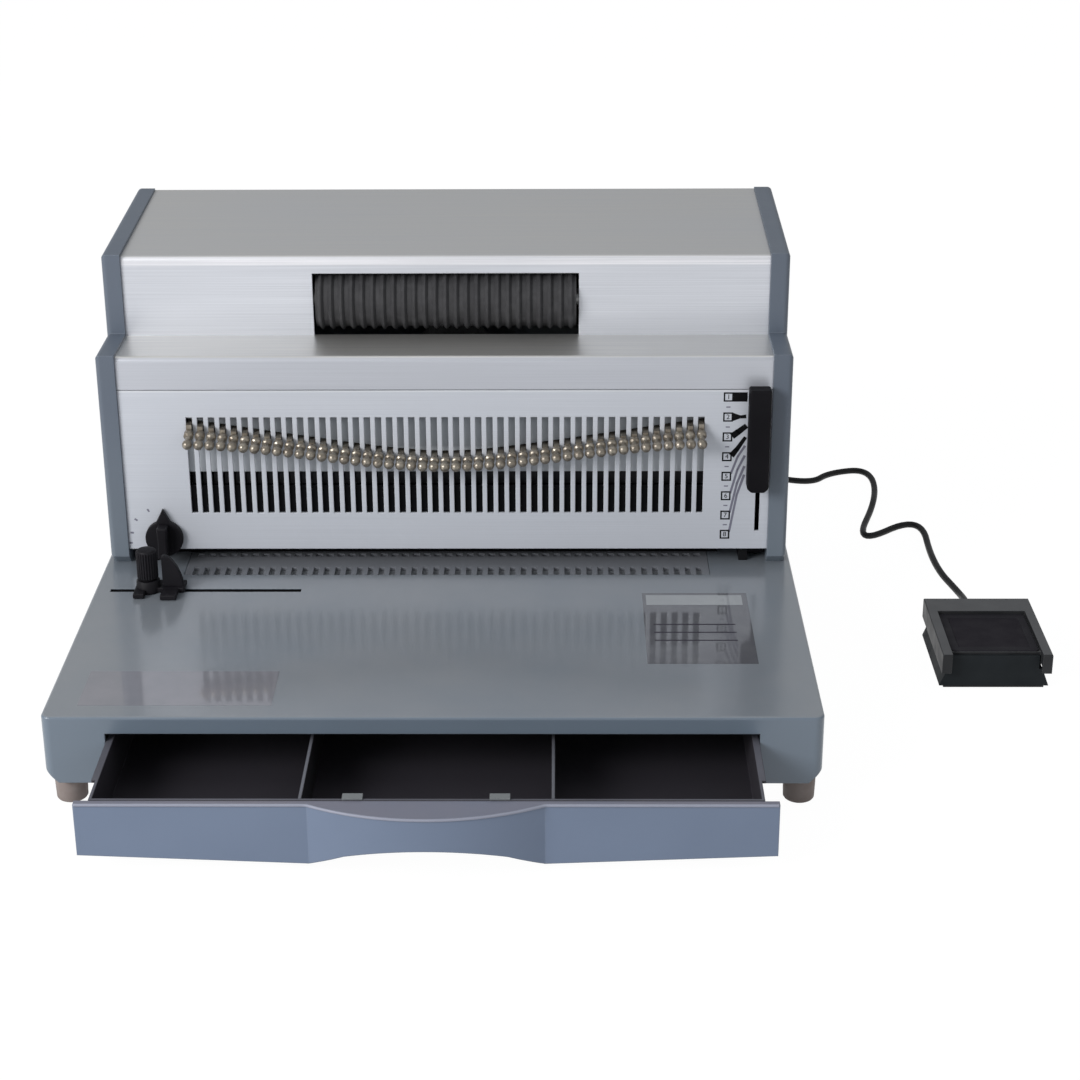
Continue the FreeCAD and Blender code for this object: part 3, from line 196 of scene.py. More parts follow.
class Finish:
    """A material that gains its grain, mottling, rubbed marks and painted light one step at a time."""

    def __init__(self, name, shade, roughness, metallic=0.0):
        self.material = bpy.data.materials.new(name)
        self.material.use_nodes = True
        self.tree = self.material.node_tree
        self.shader = self.tree.nodes["Principled BSDF"]
        self.shade = shade
        self.roughness = roughness
        self.shader.inputs["Base Color"].default_value = shade
        self.shader.inputs["Roughness"].default_value = roughness
        self.shader.inputs["Metallic"].default_value = metallic

    def node(self, kind, **values):
        node = self.tree.nodes.new(kind)
        for name, value in values.items():
            node.inputs[name].default_value = value
        return node

    def link(self, output, target):
        self.tree.links.new(output, target)

    def noise(self, per_metre, stretch=(1, 1, 1), detail=3.0):
        """Noise over the piece's own coordinates, with this many features for each metre."""
        place = self.node("ShaderNodeTexCoord")
        spread = self.node("ShaderNodeMapping", Scale=stretch)
        noise = self.node("ShaderNodeTexNoise", Scale=per_metre, Detail=detail)
        self.link(place.outputs["Object"], spread.inputs["Vector"])
        self.link(spread.outputs["Vector"], noise.inputs["Vector"])
        return noise.outputs[0]

    def facing_up(self):
        """1 where a face looks up, 0 on walls."""
        place = self.node("ShaderNodeNewGeometry")
        split = self.node("ShaderNodeSeparateXYZ")
        self.link(place.outputs["Normal"], split.inputs[0])
        return self.between(split.outputs["Z"], 0.7, 0.9)

    def higher_than(self, height, over=SOFT_CHANGE):
        """0 below this height of the piece at rest, and 1 from this much above it."""
        place = self.node("ShaderNodeTexCoord")
        split = self.node("ShaderNodeSeparateXYZ")
        self.link(place.outputs["Object"], split.inputs[0])
        return self.between(split.outputs["Z"], height, height + over)

    def both(self, first, second):
        """1 only where both masks are 1."""
        product = self.node("ShaderNodeMath")
        product.operation = "MULTIPLY"
        self.link(first, product.inputs[0])
        self.link(second, product.inputs[1])
        return product.outputs[0]

    def between(self, output, low, high, start=0.0, end=1.0):
        """Stretches what lies between low and high to start and end."""
        span = self.node("ShaderNodeMapRange")
        span.inputs["From Min"].default_value = low
        span.inputs["From Max"].default_value = high
        span.inputs["To Min"].default_value = start
        span.inputs["To Max"].default_value = end
        self.link(output, span.inputs["Value"])
        return span.outputs[0]

    def mottled(self, other, mask):
        """The colour wanders towards another one where the mask is 1."""
        mix = self.tree.nodes.new("ShaderNodeMix")
        mix.data_type = "RGBA"
        source, first, second, mixed = mix.inputs[0], mix.inputs[6], mix.inputs[7], mix.outputs[2]
        first.default_value = self.shade
        second.default_value = other
        base = self.shader.inputs["Base Color"]
        if base.is_linked:
            self.link(base.links[0].from_socket, first)
        self.link(mask, source)
        self.link(mixed, base)

    def uneven(self, mask, spread):
        """The roughness wanders by this much round its own value."""
        low, high = self.roughness - spread, self.roughness + spread
        self.link(self.between(mask, 0.3, 0.7, low, high), self.shader.inputs["Roughness"])

    def relief(self, height, depth, strength):
        """Lays a bump of this depth over the ones already there."""
        bump = self.node("ShaderNodeBump", Strength=strength, Distance=depth)
        normal = self.shader.inputs["Normal"]
        if normal.is_linked:
            self.link(normal.links[0].from_socket, bump.inputs["Normal"])
        self.link(height, bump.inputs["Height"])
        self.link(bump.outputs[0], normal)

    def soft_edges(self, radius, rub_and_highlight=None, edge_share=1.0):
        """Edges look rounded, and take another colour where one is given: partly rubbed wear, partly a
        painted highlight along them.
        """
        bevel = self.tree.nodes.new("ShaderNodeBevel")
        bevel.samples = 4
        bevel.inputs["Radius"].default_value = radius
        self.link(bevel.outputs[0], self.shader.inputs["Normal"])
        if rub_and_highlight:
            facing = self.tree.nodes.new("ShaderNodeVectorMath")
            facing.operation = "DOT_PRODUCT"
            place = self.tree.nodes.new("ShaderNodeNewGeometry")
            self.link(bevel.outputs[0], facing.inputs[0])
            self.link(place.outputs["Normal"], facing.inputs[1])
            self.mottled(rub_and_highlight, self.between(facing.outputs["Value"], 0.995, 0.85, 0.0, edge_share))


def painted_shading_above(shade, height, over=SOFT_CHANGE):
    """Another colour above a height: painted light or shade."""
    def lay(finish):
        finish.mottled(shade, finish.higher_than(height, over))
    return lay


def painted_shading_on_top(shade, height=0.0):
    """Another colour on the faces that look up above a height: painted light or shade on tops that the lamps
    light differently from the walls.
    """
    def lay(finish):
        finish.mottled(shade, finish.both(finish.facing_up(), finish.higher_than(height)))
    return lay


def polish(walls, top):
    """Lacquer that is thin on the walls and thick on top."""
    def lay(finish):
        finish.link(finish.between(finish.facing_up(), 0, 1, walls, top), finish.shader.inputs["Coat Weight"])
        finish.shader.inputs["Coat Roughness"].default_value = 0.16
    return lay


def mirror_below(height, metallic):
    """Faces that look up below a height mirror more than the rest."""
    def lay(finish):
        low = finish.between(finish.higher_than(height), 0, 1, 1, 0)
        mask = finish.both(finish.facing_up(), low)
        plain = finish.shader.inputs["Metallic"].default_value
        finish.link(finish.between(mask, 0, 1, plain, metallic), finish.shader.inputs["Metallic"])
    return lay


def painted_metal(name, shade, cloudy, rub_and_highlight, roughness=0.42, gloss=0.45, layers=()):
    """Powder coat: a fine orange peel, faint clouds and rounded edges in a lighter colour, partly wear and
    partly painted highlight.
    """
    finish = Finish(name, shade, roughness)
    for lay in layers:
        lay(finish)
    finish.soft_edges(0.8 * MM, rub_and_highlight, 0.7)
    finish.mottled(cloudy, finish.between(finish.noise(14, detail=4), 0.35, 0.75, 0.0, 0.5))
    finish.relief(finish.noise(380, detail=2), 0.01 * MM, 0.5)
    finish.relief(finish.noise(1800, detail=1), 0.002 * MM, 0.4)
    finish.uneven(finish.noise(60), 0.02)
    finish.shader.inputs["Specular IOR Level"].default_value = gloss
    return finish.material


def brushed_metal(name, shade, streak, metallic, layers):
    """Sheet metal whose grain runs across the machine."""
    finish = Finish(name, shade, 0.38, metallic)
    for lay in layers:
        lay(finish)
    # Edges take a near-white colour: a painted highlight along the bends.
    finish.soft_edges(0.7 * MM, colour(236, 238, 242), 0.6)
    grain = finish.noise(60, stretch=(0.12, 30, 30), detail=5)
    finish.mottled(streak, finish.between(grain, 0.3, 0.75, 0.0, 0.55))
    broad = finish.noise(9, stretch=(0.5, 1, 1.6), detail=3)
    finish.mottled(streak, finish.between(broad, 0.4, 0.8, 0.0, 0.35))
    finish.relief(grain, 0.012 * MM, 0.5)
    finish.uneven(grain, 0.07)
    return finish.material


def plain_steel(name, shade, roughness=0.36, metallic=0.9, layers=()):
    """Bare metal with fine marks and an uneven gloss."""
    finish = Finish(name, shade, roughness, metallic)
    for lay in layers:
        lay(finish)
    finish.soft_edges(0.3 * MM)
    finish.uneven(finish.noise(120, detail=5), 0.1)
    finish.relief(finish.noise(700, stretch=(0.2, 1, 1)), 0.01 * MM, 0.4)
    return finish.material


def moulded_plastic(name, shade, lighter, roughness=0.5, pebble=0.03 * MM, gloss=0.35, layers=()):
    """Moulded plastic with a fine pebbled skin and lighter edges, partly polished by use and partly painted
    highlight.
    """
    finish = Finish(name, shade, roughness)
    for lay in layers:
        lay(finish)
    finish.soft_edges(0.5 * MM, lighter, 0.8)
    finish.mottled(lighter, finish.between(finish.noise(30, detail=4), 0.45, 0.8, 0.0, 0.25))
    finish.relief(finish.noise(2600, detail=2), pebble, 0.6)
    finish.uneven(finish.noise(90), 0.08)
    finish.shader.inputs["Specular IOR Level"].default_value = gloss
    return finish.material


def rubber(name, shade, dusty, roughness=0.68):
    """Matt rubber with dusty patches."""
    finish = Finish(name, shade, roughness)
    finish.mottled(dusty, finish.between(finish.noise(160, detail=6), 0.45, 0.75, 0.0, 0.6))
    finish.relief(finish.noise(2200, detail=2), 0.02 * MM, 0.5)
    finish.uneven(finish.noise(110), 0.08)
    finish.shader.inputs["Specular IOR Level"].default_value = 0.35
    return finish.material


def cable_skin():
    """Smooth black jacket with a slow waver in its gloss."""
    finish = Finish("cable_jacket", colour(14, 14, 15), 0.5)
    finish.shader.inputs["Specular IOR Level"].default_value = 0.3
    finish.mottled(colour(26, 26, 28), finish.between(finish.noise(70, detail=4), 0.4, 0.8, 0.0, 0.6))
    finish.relief(finish.noise(1500, detail=2), 0.012 * MM, 0.4)
    finish.uneven(finish.noise(50), 0.08)
    return finish.material


def knob_metal():
    """Dull cast metal with darker patches."""
    finish = Finish("knob_brass", colour(156, 149, 137), 0.34, 0.7)
    finish.mottled(colour(112, 103, 92), finish.between(finish.noise(260, detail=5), 0.35, 0.75))
    finish.relief(finish.noise(3000, detail=2), 0.01 * MM, 0.4)
    finish.uneven(finish.noise(300), 0.1)
    return finish.material


def ink(name, shade):
    """Printed ink, a little broken where it has rubbed."""
    finish = Finish(name, shade, 0.7)
    finish.mottled(colour(120, 124, 132), finish.between(finish.noise(900, detail=5), 0.66, 0.85, 0.0, 0.4))
    finish.relief(finish.noise(3000), 0.004 * MM, 0.3)
    finish.shader.inputs["Specular IOR Level"].default_value = 0.15
    return finish.material


def label_film(name, shade, cloudy):
    """Glossy film that mirrors what stands behind it."""
    finish = Finish(name, shade, 0.07)
    finish.mottled(cloudy, finish.between(finish.noise(70, detail=4), 0.35, 0.7, 0.0, 0.6))
    finish.relief(finish.noise(120), 0.01 * MM, 0.3)
    finish.shader.inputs["Specular IOR Level"].default_value = 1.0
    finish.shader.inputs["Coat Weight"].default_value = 0.3
    return finish.material


# The base's up-facing faces take a lighter, more neutral colour: painted light on its top.
base_paint = painted_metal("base_paint", colour(107, 120, 134), colour(104, 116, 128), colour(146, 156, 166),
                           0.3, 0.6, [painted_shading_on_top(colour(126, 131, 137)), polish(0.2, 1.0)])
# The drawer front's up-facing faces take a lighter colour: painted light.
drawer_paint = painted_metal("drawer_paint", colour(113, 127, 150), colour(104, 117, 139),
                             colour(158, 166, 180), layers=[painted_shading_on_top(colour(122, 120, 131))])
# The cheeks are painted lighter towards the foot and darker from 60 mm to 150 mm up: painted light and shade.
cheek_paint = painted_metal("cheek_paint", colour(112, 122, 132), colour(98, 107, 118), colour(136, 145, 156),
                            layers=[painted_shading_above(colour(95, 104, 117), CHEEK_FOOT, CHEEK_FADE)])
rear_paint = painted_metal("rear_paint", colour(122, 129, 136), colour(112, 119, 127), colour(158, 164, 170))
# Painted light and shade on the head sheet: the upper front brighter than the lip above 179 mm, a near-white
# painted highlight along the top bend, the ledge painted lighter and the top painted darker.
head_metal = brushed_metal("head_metal", colour(200, 203, 211), colour(186, 189, 196), 0.4,
                           [painted_shading_above(colour(219, 222, 229), UPPER_FRONT),
                            painted_shading_above(colour(250, 250, 254), TOP_EDGE, 1 * MM),
                            painted_shading_on_top(colour(240, 238, 232), LEDGE), mirror_below(HEAD_TOP, 0.88),
                            painted_shading_on_top(colour(193, 192, 189), HEAD_TOP)])
panel_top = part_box("slotted_panel")[1].z
# A pale band along the panel's top edge, under the seam: a painted highlight.
panel_metal = brushed_metal("panel_metal", colour(209, 213, 221), colour(192, 196, 204), 0.2,
                            [painted_shading_above(colour(228, 231, 236), panel_top - PANEL_EDGE)])
zinc_steel = plain_steel("zinc_steel", colour(176, 178, 180))
# The beam behind the slots turns darker above 122 mm: painted shade in the upper part of the slots.
beam_steel = plain_steel("beam_steel", colour(212, 216, 220), 0.5, 0.1,
                         [painted_shading_above(colour(158, 163, 168), BEAM_SHADE, 3 * MM)])
dark_steel = plain_steel("dark_steel", colour(34, 34, 38), 0.5, 0.3)
strip_steel = plain_steel("strip_steel", colour(112, 115, 121), 0.4, 0.0)
black_steel = painted_metal("black_steel", colour(5, 5, 8), colour(9, 9, 12), colour(24, 24, 28), 0.7, 0.1)
# The tray's up-facing rims above 30 mm take a lighter colour: painted highlight.
lining = painted_metal("drawer_lining", colour(44, 42, 48), colour(52, 50, 56), colour(80, 80, 86), 0.55,
                       layers=[painted_shading_on_top(colour(96, 97, 106), TRAY_RIM)])
# Near-black faces with a lighter top edge above 20 mm: painted shade on the faces and a painted highlight on
# the edge.
divider_paint = painted_metal("divider_paint", colour(27, 26, 30), colour(34, 33, 37), colour(84, 85, 92),
                              0.55, layers=[painted_shading_on_top(colour(108, 110, 118), DIVIDER_RIM)])
# Paler paint for the rolled edge of the drawer front: a painted highlight along the edge.
edge_highlight_paint = painted_metal("edge_highlight_paint", colour(146, 150, 166), colour(136, 140, 156), colour(176, 180, 192))
brass = plain_steel("bearing_brass", colour(186, 150, 92), 0.35, 1.0)
motor_paint = painted_metal("motor_paint", colour(14, 14, 16), colour(20, 20, 22), colour(40, 41, 44),
                            0.7, 0.1)
# Near-black side frames: painted shade where they show at the ends of the throat.
frame_paint = painted_metal("frame_paint", colour(10, 11, 14), colour(16, 17, 20), colour(34, 35, 40),
                            0.6, 0.2)
black_plastic = moulded_plastic("black_plastic", colour(22, 21, 25), colour(42, 41, 46), 0.55, gloss=0.18)
clip_plastic = moulded_plastic("clip_plastic", colour(118, 122, 124), colour(138, 142, 144))
# The rim's up-facing faces take a lighter colour: painted light on its tops.
pedal_rim_plastic = moulded_plastic("pedal_rim_plastic", colour(38, 39, 41), colour(86, 87, 89), 0.5,
                                    gloss=0.2, layers=[painted_shading_on_top(colour(84, 85, 87))])
pedal_front_plastic = moulded_plastic("pedal_front_plastic", colour(28, 32, 35), colour(46, 51, 55), 0.6,
                                      gloss=0.15)
lever_plastic = moulded_plastic("lever_plastic", colour(14, 13, 17), colour(30, 29, 34), 0.6, gloss=0.12)
tread_plastic = moulded_plastic("tread_plastic", colour(34, 33, 38), colour(46, 45, 50), 0.65,
                                0.05 * MM, 0.15)
panel_plastic = moulded_plastic("panel_plastic", colour(28, 25, 32), colour(38, 35, 42), 0.65,
                                0.05 * MM, 0.15)
foot_rubber = rubber("foot_rubber", colour(140, 129, 125), colour(154, 146, 142))
black_rubber = rubber("black_rubber", colour(32, 31, 33), colour(46, 45, 47))
roller_rubber = rubber("roller_rubber", colour(54, 54, 56), colour(72, 72, 74), 0.5)
knob_brass = knob_metal()
jacket = cable_skin()
black_ink = ink("black_ink", colour(8, 8, 11))
grey_ink = ink("grey_ink", colour(122, 122, 136))
rule_ink = ink("rule_ink", colour(54, 52, 62))
clear_film = label_film("clear_film", colour(126, 127, 134), colour(136, 135, 142))
label_film_grey = label_film("label_film", colour(93, 94, 100), colour(106, 108, 112))
pale_ink = label_film("pale_ink", colour(154, 158, 161), colour(142, 146, 149))

FINISHES = {
    base_paint: ["base_cover"],
    drawer_paint: ["drawer_front"],
    lining: ["drawer_tray"],
    divider_paint: ["drawer_dividers"],
    cheek_paint: ["cheek_right", "cheek_left"],
    rear_paint: ["rear_cover"],
    head_metal: ["head_cover"],
    panel_metal: ["slotted_panel"],
    zinc_steel: ["base_rails", "drawer_runners", "chassis_floor", "die_bed", "guide_columns",
                 "press_shaft", "roller_shaft", "roller_motor_shaft", "roller_rail", "roller_bracket_left",
                 "roller_bracket_right", "backstop_guides", "pedal_spring",
                 "gearmotor_bracket", "guide_clamp_nut", "knob_shaft"],
    beam_steel: ["press_beam"],
    dark_steel: ["punch_pins", "pedal_hinge_pin"],
    strip_steel: ["die_strip"],
    frame_paint: ["side_frames"],
    # The lever rail takes the near-black paint as painted shade where it shows below the panel's right end.
    black_steel: ["guide_block", "guide_back_plate", "backstop", "lever_rail"],
    brass: ["shaft_bearings"],
    motor_paint: ["punch_gearmotor", "roller_motor"],
    black_plastic: ["lever_slider", "mains_inlet", "rocker_frame", "rocker_button", "pedal_switch"],
    clip_plastic: ["drawer_clips"],
    pedal_rim_plastic: ["pedal_lid"],
    pedal_front_plastic: ["pedal_base"],
    black_rubber: ["drive_belt", "pedal_sole_pad"],
}


def dress_nodes():
    """Each piece that isn't drawn again below gets its material."""
    for material, names in FINISHES.items():
        for name in names:
            for slot in nodes[name].material_slots:
                slot.material = material


# Shapes

def lathe(shape, profile, start, axis, sides):
    """A turned form: profile gives how far along and how wide, from end to end."""
    axis = axis.normalized()
    first = axis.orthogonal().normalized()
    second = axis.cross(first)
    rings = []
    for along, radius in profile:
        centre = start + axis * along
        if not radius:
            rings.append([shape.verts.new(centre)])
            continue
        ring = []
        for i in range(sides):
            angle = 2 * math.pi * i / sides
            out = first * math.cos(angle) + second * math.sin(angle)
            ring.append(shape.verts.new(centre + out * radius))
        rings.append(ring)
    for low, high in zip(rings, rings[1:]):
        for i in range(sides):
            j = (i + 1) % sides
            corners = [low[i % len(low)], low[j % len(low)], high[j % len(high)], high[i % len(high)]]
            face = []
            for corner in corners:
                if corner not in face:
                    face.append(corner)
            shape.faces.new(face)
    if len(rings[0]) > 1:
        shape.faces.new(list(reversed(rings[0])))
    if len(rings[-1]) > 1:
        shape.faces.new(rings[-1])


def prism(shape, points, depth):
    """A flat outline drawn out along a vector."""
    low = [shape.verts.new(point) for point in points]
    high = [shape.verts.new(point + depth) for point in points]
    shape.faces.new(low)
    shape.faces.new(list(reversed(high)))
    for i in range(len(points)):
        j = (i + 1) % len(points)
        shape.faces.new([low[j], low[i], high[i], high[j]])


def slab(shape, x, y, z):
    """A straight-sided block between two values on each axis."""
    points = [Vector((x[0], y[0], z[0])), Vector((x[1], y[0], z[0])),
              Vector((x[1], y[1], z[0])), Vector((x[0], y[1], z[0]))]
    prism(shape, points, Vector((0, 0, z[1] - z[0])))


def piece(name, shape, material, body, replaced=(), edge=0.0, smooth=40):
    """Turns a shape into a named piece that rides on a body and takes the given material."""
    bmesh.ops.recalc_face_normals(shape, faces=shape.faces)
    mesh = bpy.data.meshes.new(name)
    shape.to_mesh(mesh)
    shape.free()
    mesh.materials.append(material)
    for face in mesh.polygons:
        face.use_smooth = True
    mesh.set_sharp_from_angle(angle=math.radians(smooth))
    made = bpy.data.objects.new(name, mesh)
    bpy.context.scene.collection.objects.link(made)
    if edge:
        bevel = made.modifiers.new("edge", "BEVEL")
        bevel.width = edge
        bevel.segments = 3
        bevel.limit_method = "ANGLE"
        bevel.harden_normals = True
    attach(made, body)
    if replaced:
        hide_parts(*replaced)
    return made


# Pedal cable and its glands

def machine_points():
    """Out of the rear, down to the table and along behind the machine."""
    spots = [(-60, 182, 30), (-59.5, 199, 29), (-57, 218, 17.5), (-50, 236, 6.2), (-20, 240, 2.1),
             (20, 234, 2.1), (65, 231, 2.1), (105, 234, 2.1), (120, 248, 2.1), (120, 262, 2.1)]
    return [Vector(spot) * MM for spot in spots]


def coil_points():
    """In on the table and out again on top, in loose turns."""
    points = []
    turns = 2 * LAYER_TURNS
    for i in range(int(turns * POINTS_PER_TURN) + 1):
        turn = i / POINTS_PER_TURN
        angle = math.pi - 2 * math.pi * turn
        climb = min(max((turn - LAYER_TURNS + COIL_EASE) / (2 * COIL_EASE), 0), 1)
        height = REST + COIL_LIFT * climb * climb * (3 - 2 * climb)
        inward = turn if turn < LAYER_TURNS else 2 * LAYER_TURNS - turn
        if abs(turn - LAYER_TURNS) < COIL_EASE:
            part = (turn - LAYER_TURNS) / COIL_EASE
            inward = LAYER_TURNS - COIL_EASE * (part * part + 1) / 2
        radius = COIL_RADIUS - COIL_STEP * inward
        points.append(COIL_CENTRE + Vector((radius * math.cos(angle), radius * math.sin(angle), height)))
    return points


def pedal_points():
    """From the coil round the machine's right side, in waves, to the pedal's rear."""
    spots = [(151.2, 293.2, 6.72), (168.2, 293.2, 6.12), (189, 287, 3.4), (208, 264, 2.1), (240, 250.5, 2.1),
             (254, 270, 2.1), (283, 277.2, 2.1), (282.5, 226, 2.1), (256.5, 142.5, 2.1), (307, 193, 2.1),
             (302.8, 112, 2.1), (313.4, 62.5, 3.0), (312.5, 44, 7.3), (312.5, 24, 7.6)]
    return [Vector(spot) * MM for spot in spots]


def gland(name, node, start, length, wide, narrow, flange):
    """Ribbed strain relief that tapers onto the cable, backwards from a wall."""
    ribs = 5
    profile = [(0, flange), (2.4 * MM, flange), (3.0 * MM, flange - 0.6 * MM), (3.0 * MM, wide)]
    first = 3.6 * MM
    step = (length - first - 1.5 * MM) / ribs
    for rib in range(ribs):
        reach = wide + (narrow - wide) * (rib + 0.5) / ribs
        at = first + rib * step
        profile += [(at, reach - 0.5 * MM), (at + 0.12 * step, reach), (at + 0.6 * step, reach),
                    (at + 0.72 * step, reach - 0.5 * MM), (at + 0.95 * step, reach - 0.55 * MM)]
    profile += [(length - 0.4 * MM, narrow - 0.4 * MM), (length, CABLE / 2 + 0.1 * MM)]
    shape = bmesh.new()
    lathe(shape, profile, start, BACK, 32)
    return piece(name, shape, black_rubber, "housing", [node], smooth=30)


def lay_cable():
    """One unbroken cable from the machine through its coil to the pedal, with a gland at each end."""
    line = bpy.data.curves.new("pedal_cable", "CURVE")
    line.dimensions = "3D"
    line.bevel_depth = CABLE / 2
    line.bevel_resolution = 5
    line.use_fill_caps = True
    line.resolution_u = 10
    points = machine_points() + coil_points() + pedal_points()
    spline = line.splines.new("NURBS")
    spline.points.add(len(points) - 1)
    for control, spot in zip(spline.points, points):
        control.co = (spot.x, spot.y, spot.z, 1.0)
    spline.order_u = 3
    spline.use_endpoint_u = True
    line.materials.append(jacket)
    cable = bpy.data.objects.new("pedal_cable", line)
    bpy.context.scene.collection.objects.link(cable)
    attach(cable, "housing")
    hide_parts("cable_from_machine", "cable_coil", "cable_to_pedal")
    start, end = points[0], points[-1]
    rear = gland("machine_strain_relief", "machine_gland", Vector((start.x, REAR_FACE, start.z)),
                 start.y - REAR_FACE, wide=4.0 * MM, narrow=3.1 * MM, flange=6.4 * MM)
    front = gland("pedal_strain_relief", "pedal_gland", Vector((end.x, PEDAL_REAR, end.z)),
                  end.y - PEDAL_REAR, wide=3.1 * MM, narrow=2.75 * MM, flange=3.2 * MM)


# Head

def tail_height(t):
    """Height of the flat tails: t is 0 in the middle of the row and 1 at its last knob."""
    bend = math.sqrt(t * t + CURVE_BEND ** 2) - CURVE_BEND
    return CURVE_LOW + CURVE_RISE * bend / (math.sqrt(1 + CURVE_BEND ** 2) - CURVE_BEND)


def head_height(t):
    """The heads droop below the tails and level out towards the ends of the row."""
    return HEAD_LOW + HEAD_RISE * math.sin(math.pi / 2 * t) ** HEAD_BEND


def pull_knobs():
    """Ball, neck and collar of each knob, and the flat tail that holds its pin."""
    ball = [(0.0, 0.0), (0.15, 0.95), (0.6, 1.85), (1.4, 2.55), (2.6, 2.9), (3.8, 2.8), (4.8, 2.35),
            (5.5, 1.8)]
    neck = [(5.9, 1.65), (8.9, 1.65), (9.2, 1.8)]
    collar = [(9.4, 2.6), (9.7, 2.85), (12.0, 2.85), (12.4, 2.7), (13.4, 2.5)]
    profile = [(along * MM, radius * MM) for along, radius in ball + neck + collar]
    middle = (KNOB_COUNT - 1) / 2
    shape = bmesh.new()
    for i in range(KNOB_COUNT):
        x = (i - middle) * KNOB_PITCH
        t = abs(i - middle) / middle
        z = tail_height(t)
        tip = Vector((x, HEAD_FRONT, head_height(t)))
        lathe(shape, profile, tip, Vector((x, HEAD_BACK, z - HEAD_DROOP * t * t)) - tip, 20)
        slab(shape, (x - TAIL_HALF, x + TAIL_HALF), (-3 * MM, 11.8 * MM),
             (z - TAIL_HALF_HEIGHT, z + TAIL_HALF_HEIGHT))
    piece("pull_knobs", shape, knob_brass, "puller_row", ["pin_pullers"], smooth=50)


def coil_roller():
    """Rubber sleeve with rounded ribs."""
    outer, groove = ROLLER_RADIUS, ROLLER_GROOVE
    width = 2 * ROLLER_HALF
    step = width / ROLLER_RIBS
    profile = [(0, ROLLER_BORE), (0, outer - groove)]
    for rib in range(ROLLER_RIBS):
        at = rib * step
        profile += [(at + 0.18 * step, outer - groove), (at + 0.34 * step, outer - 0.35 * groove),
                    (at + 0.44 * step, outer), (at + 0.56 * step, outer),
                    (at + 0.66 * step, outer - 0.35 * groove), (at + 0.82 * step, outer - groove)]
    profile += [(width, outer - groove), (width, ROLLER_BORE)]
    low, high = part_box("roller_rubber")
    middle = (low + high) / 2
    shape = bmesh.new()
    lathe(shape, profile, Vector((-ROLLER_HALF, middle.y, middle.z)), RIGHT, 72)
    piece("coil_roller_sleeve", shape, roller_rubber, "coil_roller", ["roller_rubber"],
          smooth=35)


def size_lever():
    """Black flat-sided grip bar with its lower corners cut, on a flat stem."""
    left, right = LEVER_X - LEVER_HALF, LEVER_X + LEVER_HALF
    outline = [(left, LEVER_BOTTOM + LEVER_CUT), (left + LEVER_CUT, LEVER_BOTTOM),
               (right - LEVER_CUT, LEVER_BOTTOM), (right, LEVER_BOTTOM + LEVER_CUT),
               (right, LEVER_TOP), (left, LEVER_TOP)]
    grip = bmesh.new()
    prism(grip, [Vector((x, LEVER_FRONT, z)) for x, z in outline], Vector((0, LEVER_BACK - LEVER_FRONT, 0)))
    piece("size_lever_grip", grip, lever_plastic, "size_lever", ["lever_grip"],
          edge=1.3 * MM)
    stem = bmesh.new()
    slab(stem, STEM_X, STEM_Y, STEM_Z)
    piece("size_lever_stem", stem, dark_steel, "size_lever", edge=0.3 * MM)


def margin_dial():
    """Round knob with a pointer and a raised bar to turn it by."""
    front, rear = -3.7 * MM, -0.3 * MM
    shoulder = 4.2 * MM
    edge = math.asin(shoulder / DIAL_RADIUS)
    points = [DIAL_SPOT + Vector((0, front, POINTER_TIP))]
    steps = 40
    for i in range(steps + 1):
        angle = edge + (2 * math.pi - 2 * edge) * i / steps
        across, above = DIAL_RADIUS * math.sin(angle), DIAL_RADIUS * math.cos(angle)
        points.append(DIAL_SPOT + Vector((across, front, above)))
    shape = bmesh.new()
    prism(shape, points, Vector((0, rear - front, 0)))
    piece("margin_dial_disc", shape, black_plastic, "margin_dial", ["margin_knob"],
          edge=0.6 * MM)
    grip = bmesh.new()
    grip_front, grip_depth = -11.6 * MM, 8.2 * MM
    outline = [(-3.0, -9.6), (3.0, -9.6), (2.6, 0), (3.0, 9.6), (-3.0, 9.6), (-2.6, 0)]
    face = [DIAL_SPOT + Vector((x * MM, grip_front, z * MM)) for x, z in outline]
    prism(grip, face, Vector((0, grip_depth, 0)))
    piece("margin_dial_bar", grip, black_plastic, "margin_dial", edge=0.9 * MM)


def side_guide():
    """Foot with two toes, a boss for the screw and a thin curved fin."""
    low = BASE_TOP + GUIDE_GAP
    y = SCREW_SPOT.y
    plate = (-176.2, -148.2, -4, 8)
    left_toe = (-176.2, -169.8, -12.5, -3.5)
    right_toe = (-160.6, -151.4, -14.5, -3.5)
    foot = bmesh.new()
    for left, right, front, rear in (plate, left_toe, right_toe):
        slab(foot, (left * MM, right * MM), (y + front * MM, y + rear * MM), (low, low + GUIDE_FOOT_THICK))
    piece("side_guide_foot", foot, black_plastic, "side_guide", ["side_guide_body"],
          edge=0.7 * MM)
    boss = bmesh.new()
    lathe(boss, [(0, 6.9 * MM), (6.2 * MM, 6.7 * MM), (7 * MM, 6.0 * MM)],
          Vector((SCREW_SPOT.x, y, low)), UP, 40)
    piece("side_guide_boss", boss, black_plastic, "side_guide")
    fin = bmesh.new()
    outline = [(-160.6, 3), (-160.6, 21.4), (-159, 21.8), (-156.4, 20.8), (-154, 18), (-151.8, 14.4),
               (-150, 9.8), (-148.9, 5), (-148.2, 0.6), (-151, 0.6), (-152.6, 3)]
    half = 1.9 * MM
    prism(fin, [Vector((x * MM, y - half, low + z * MM)) for x, z in outline], Vector((0, 2 * half, 0)))
    piece("side_guide_fin", fin, black_plastic, "side_guide", edge=0.5 * MM)


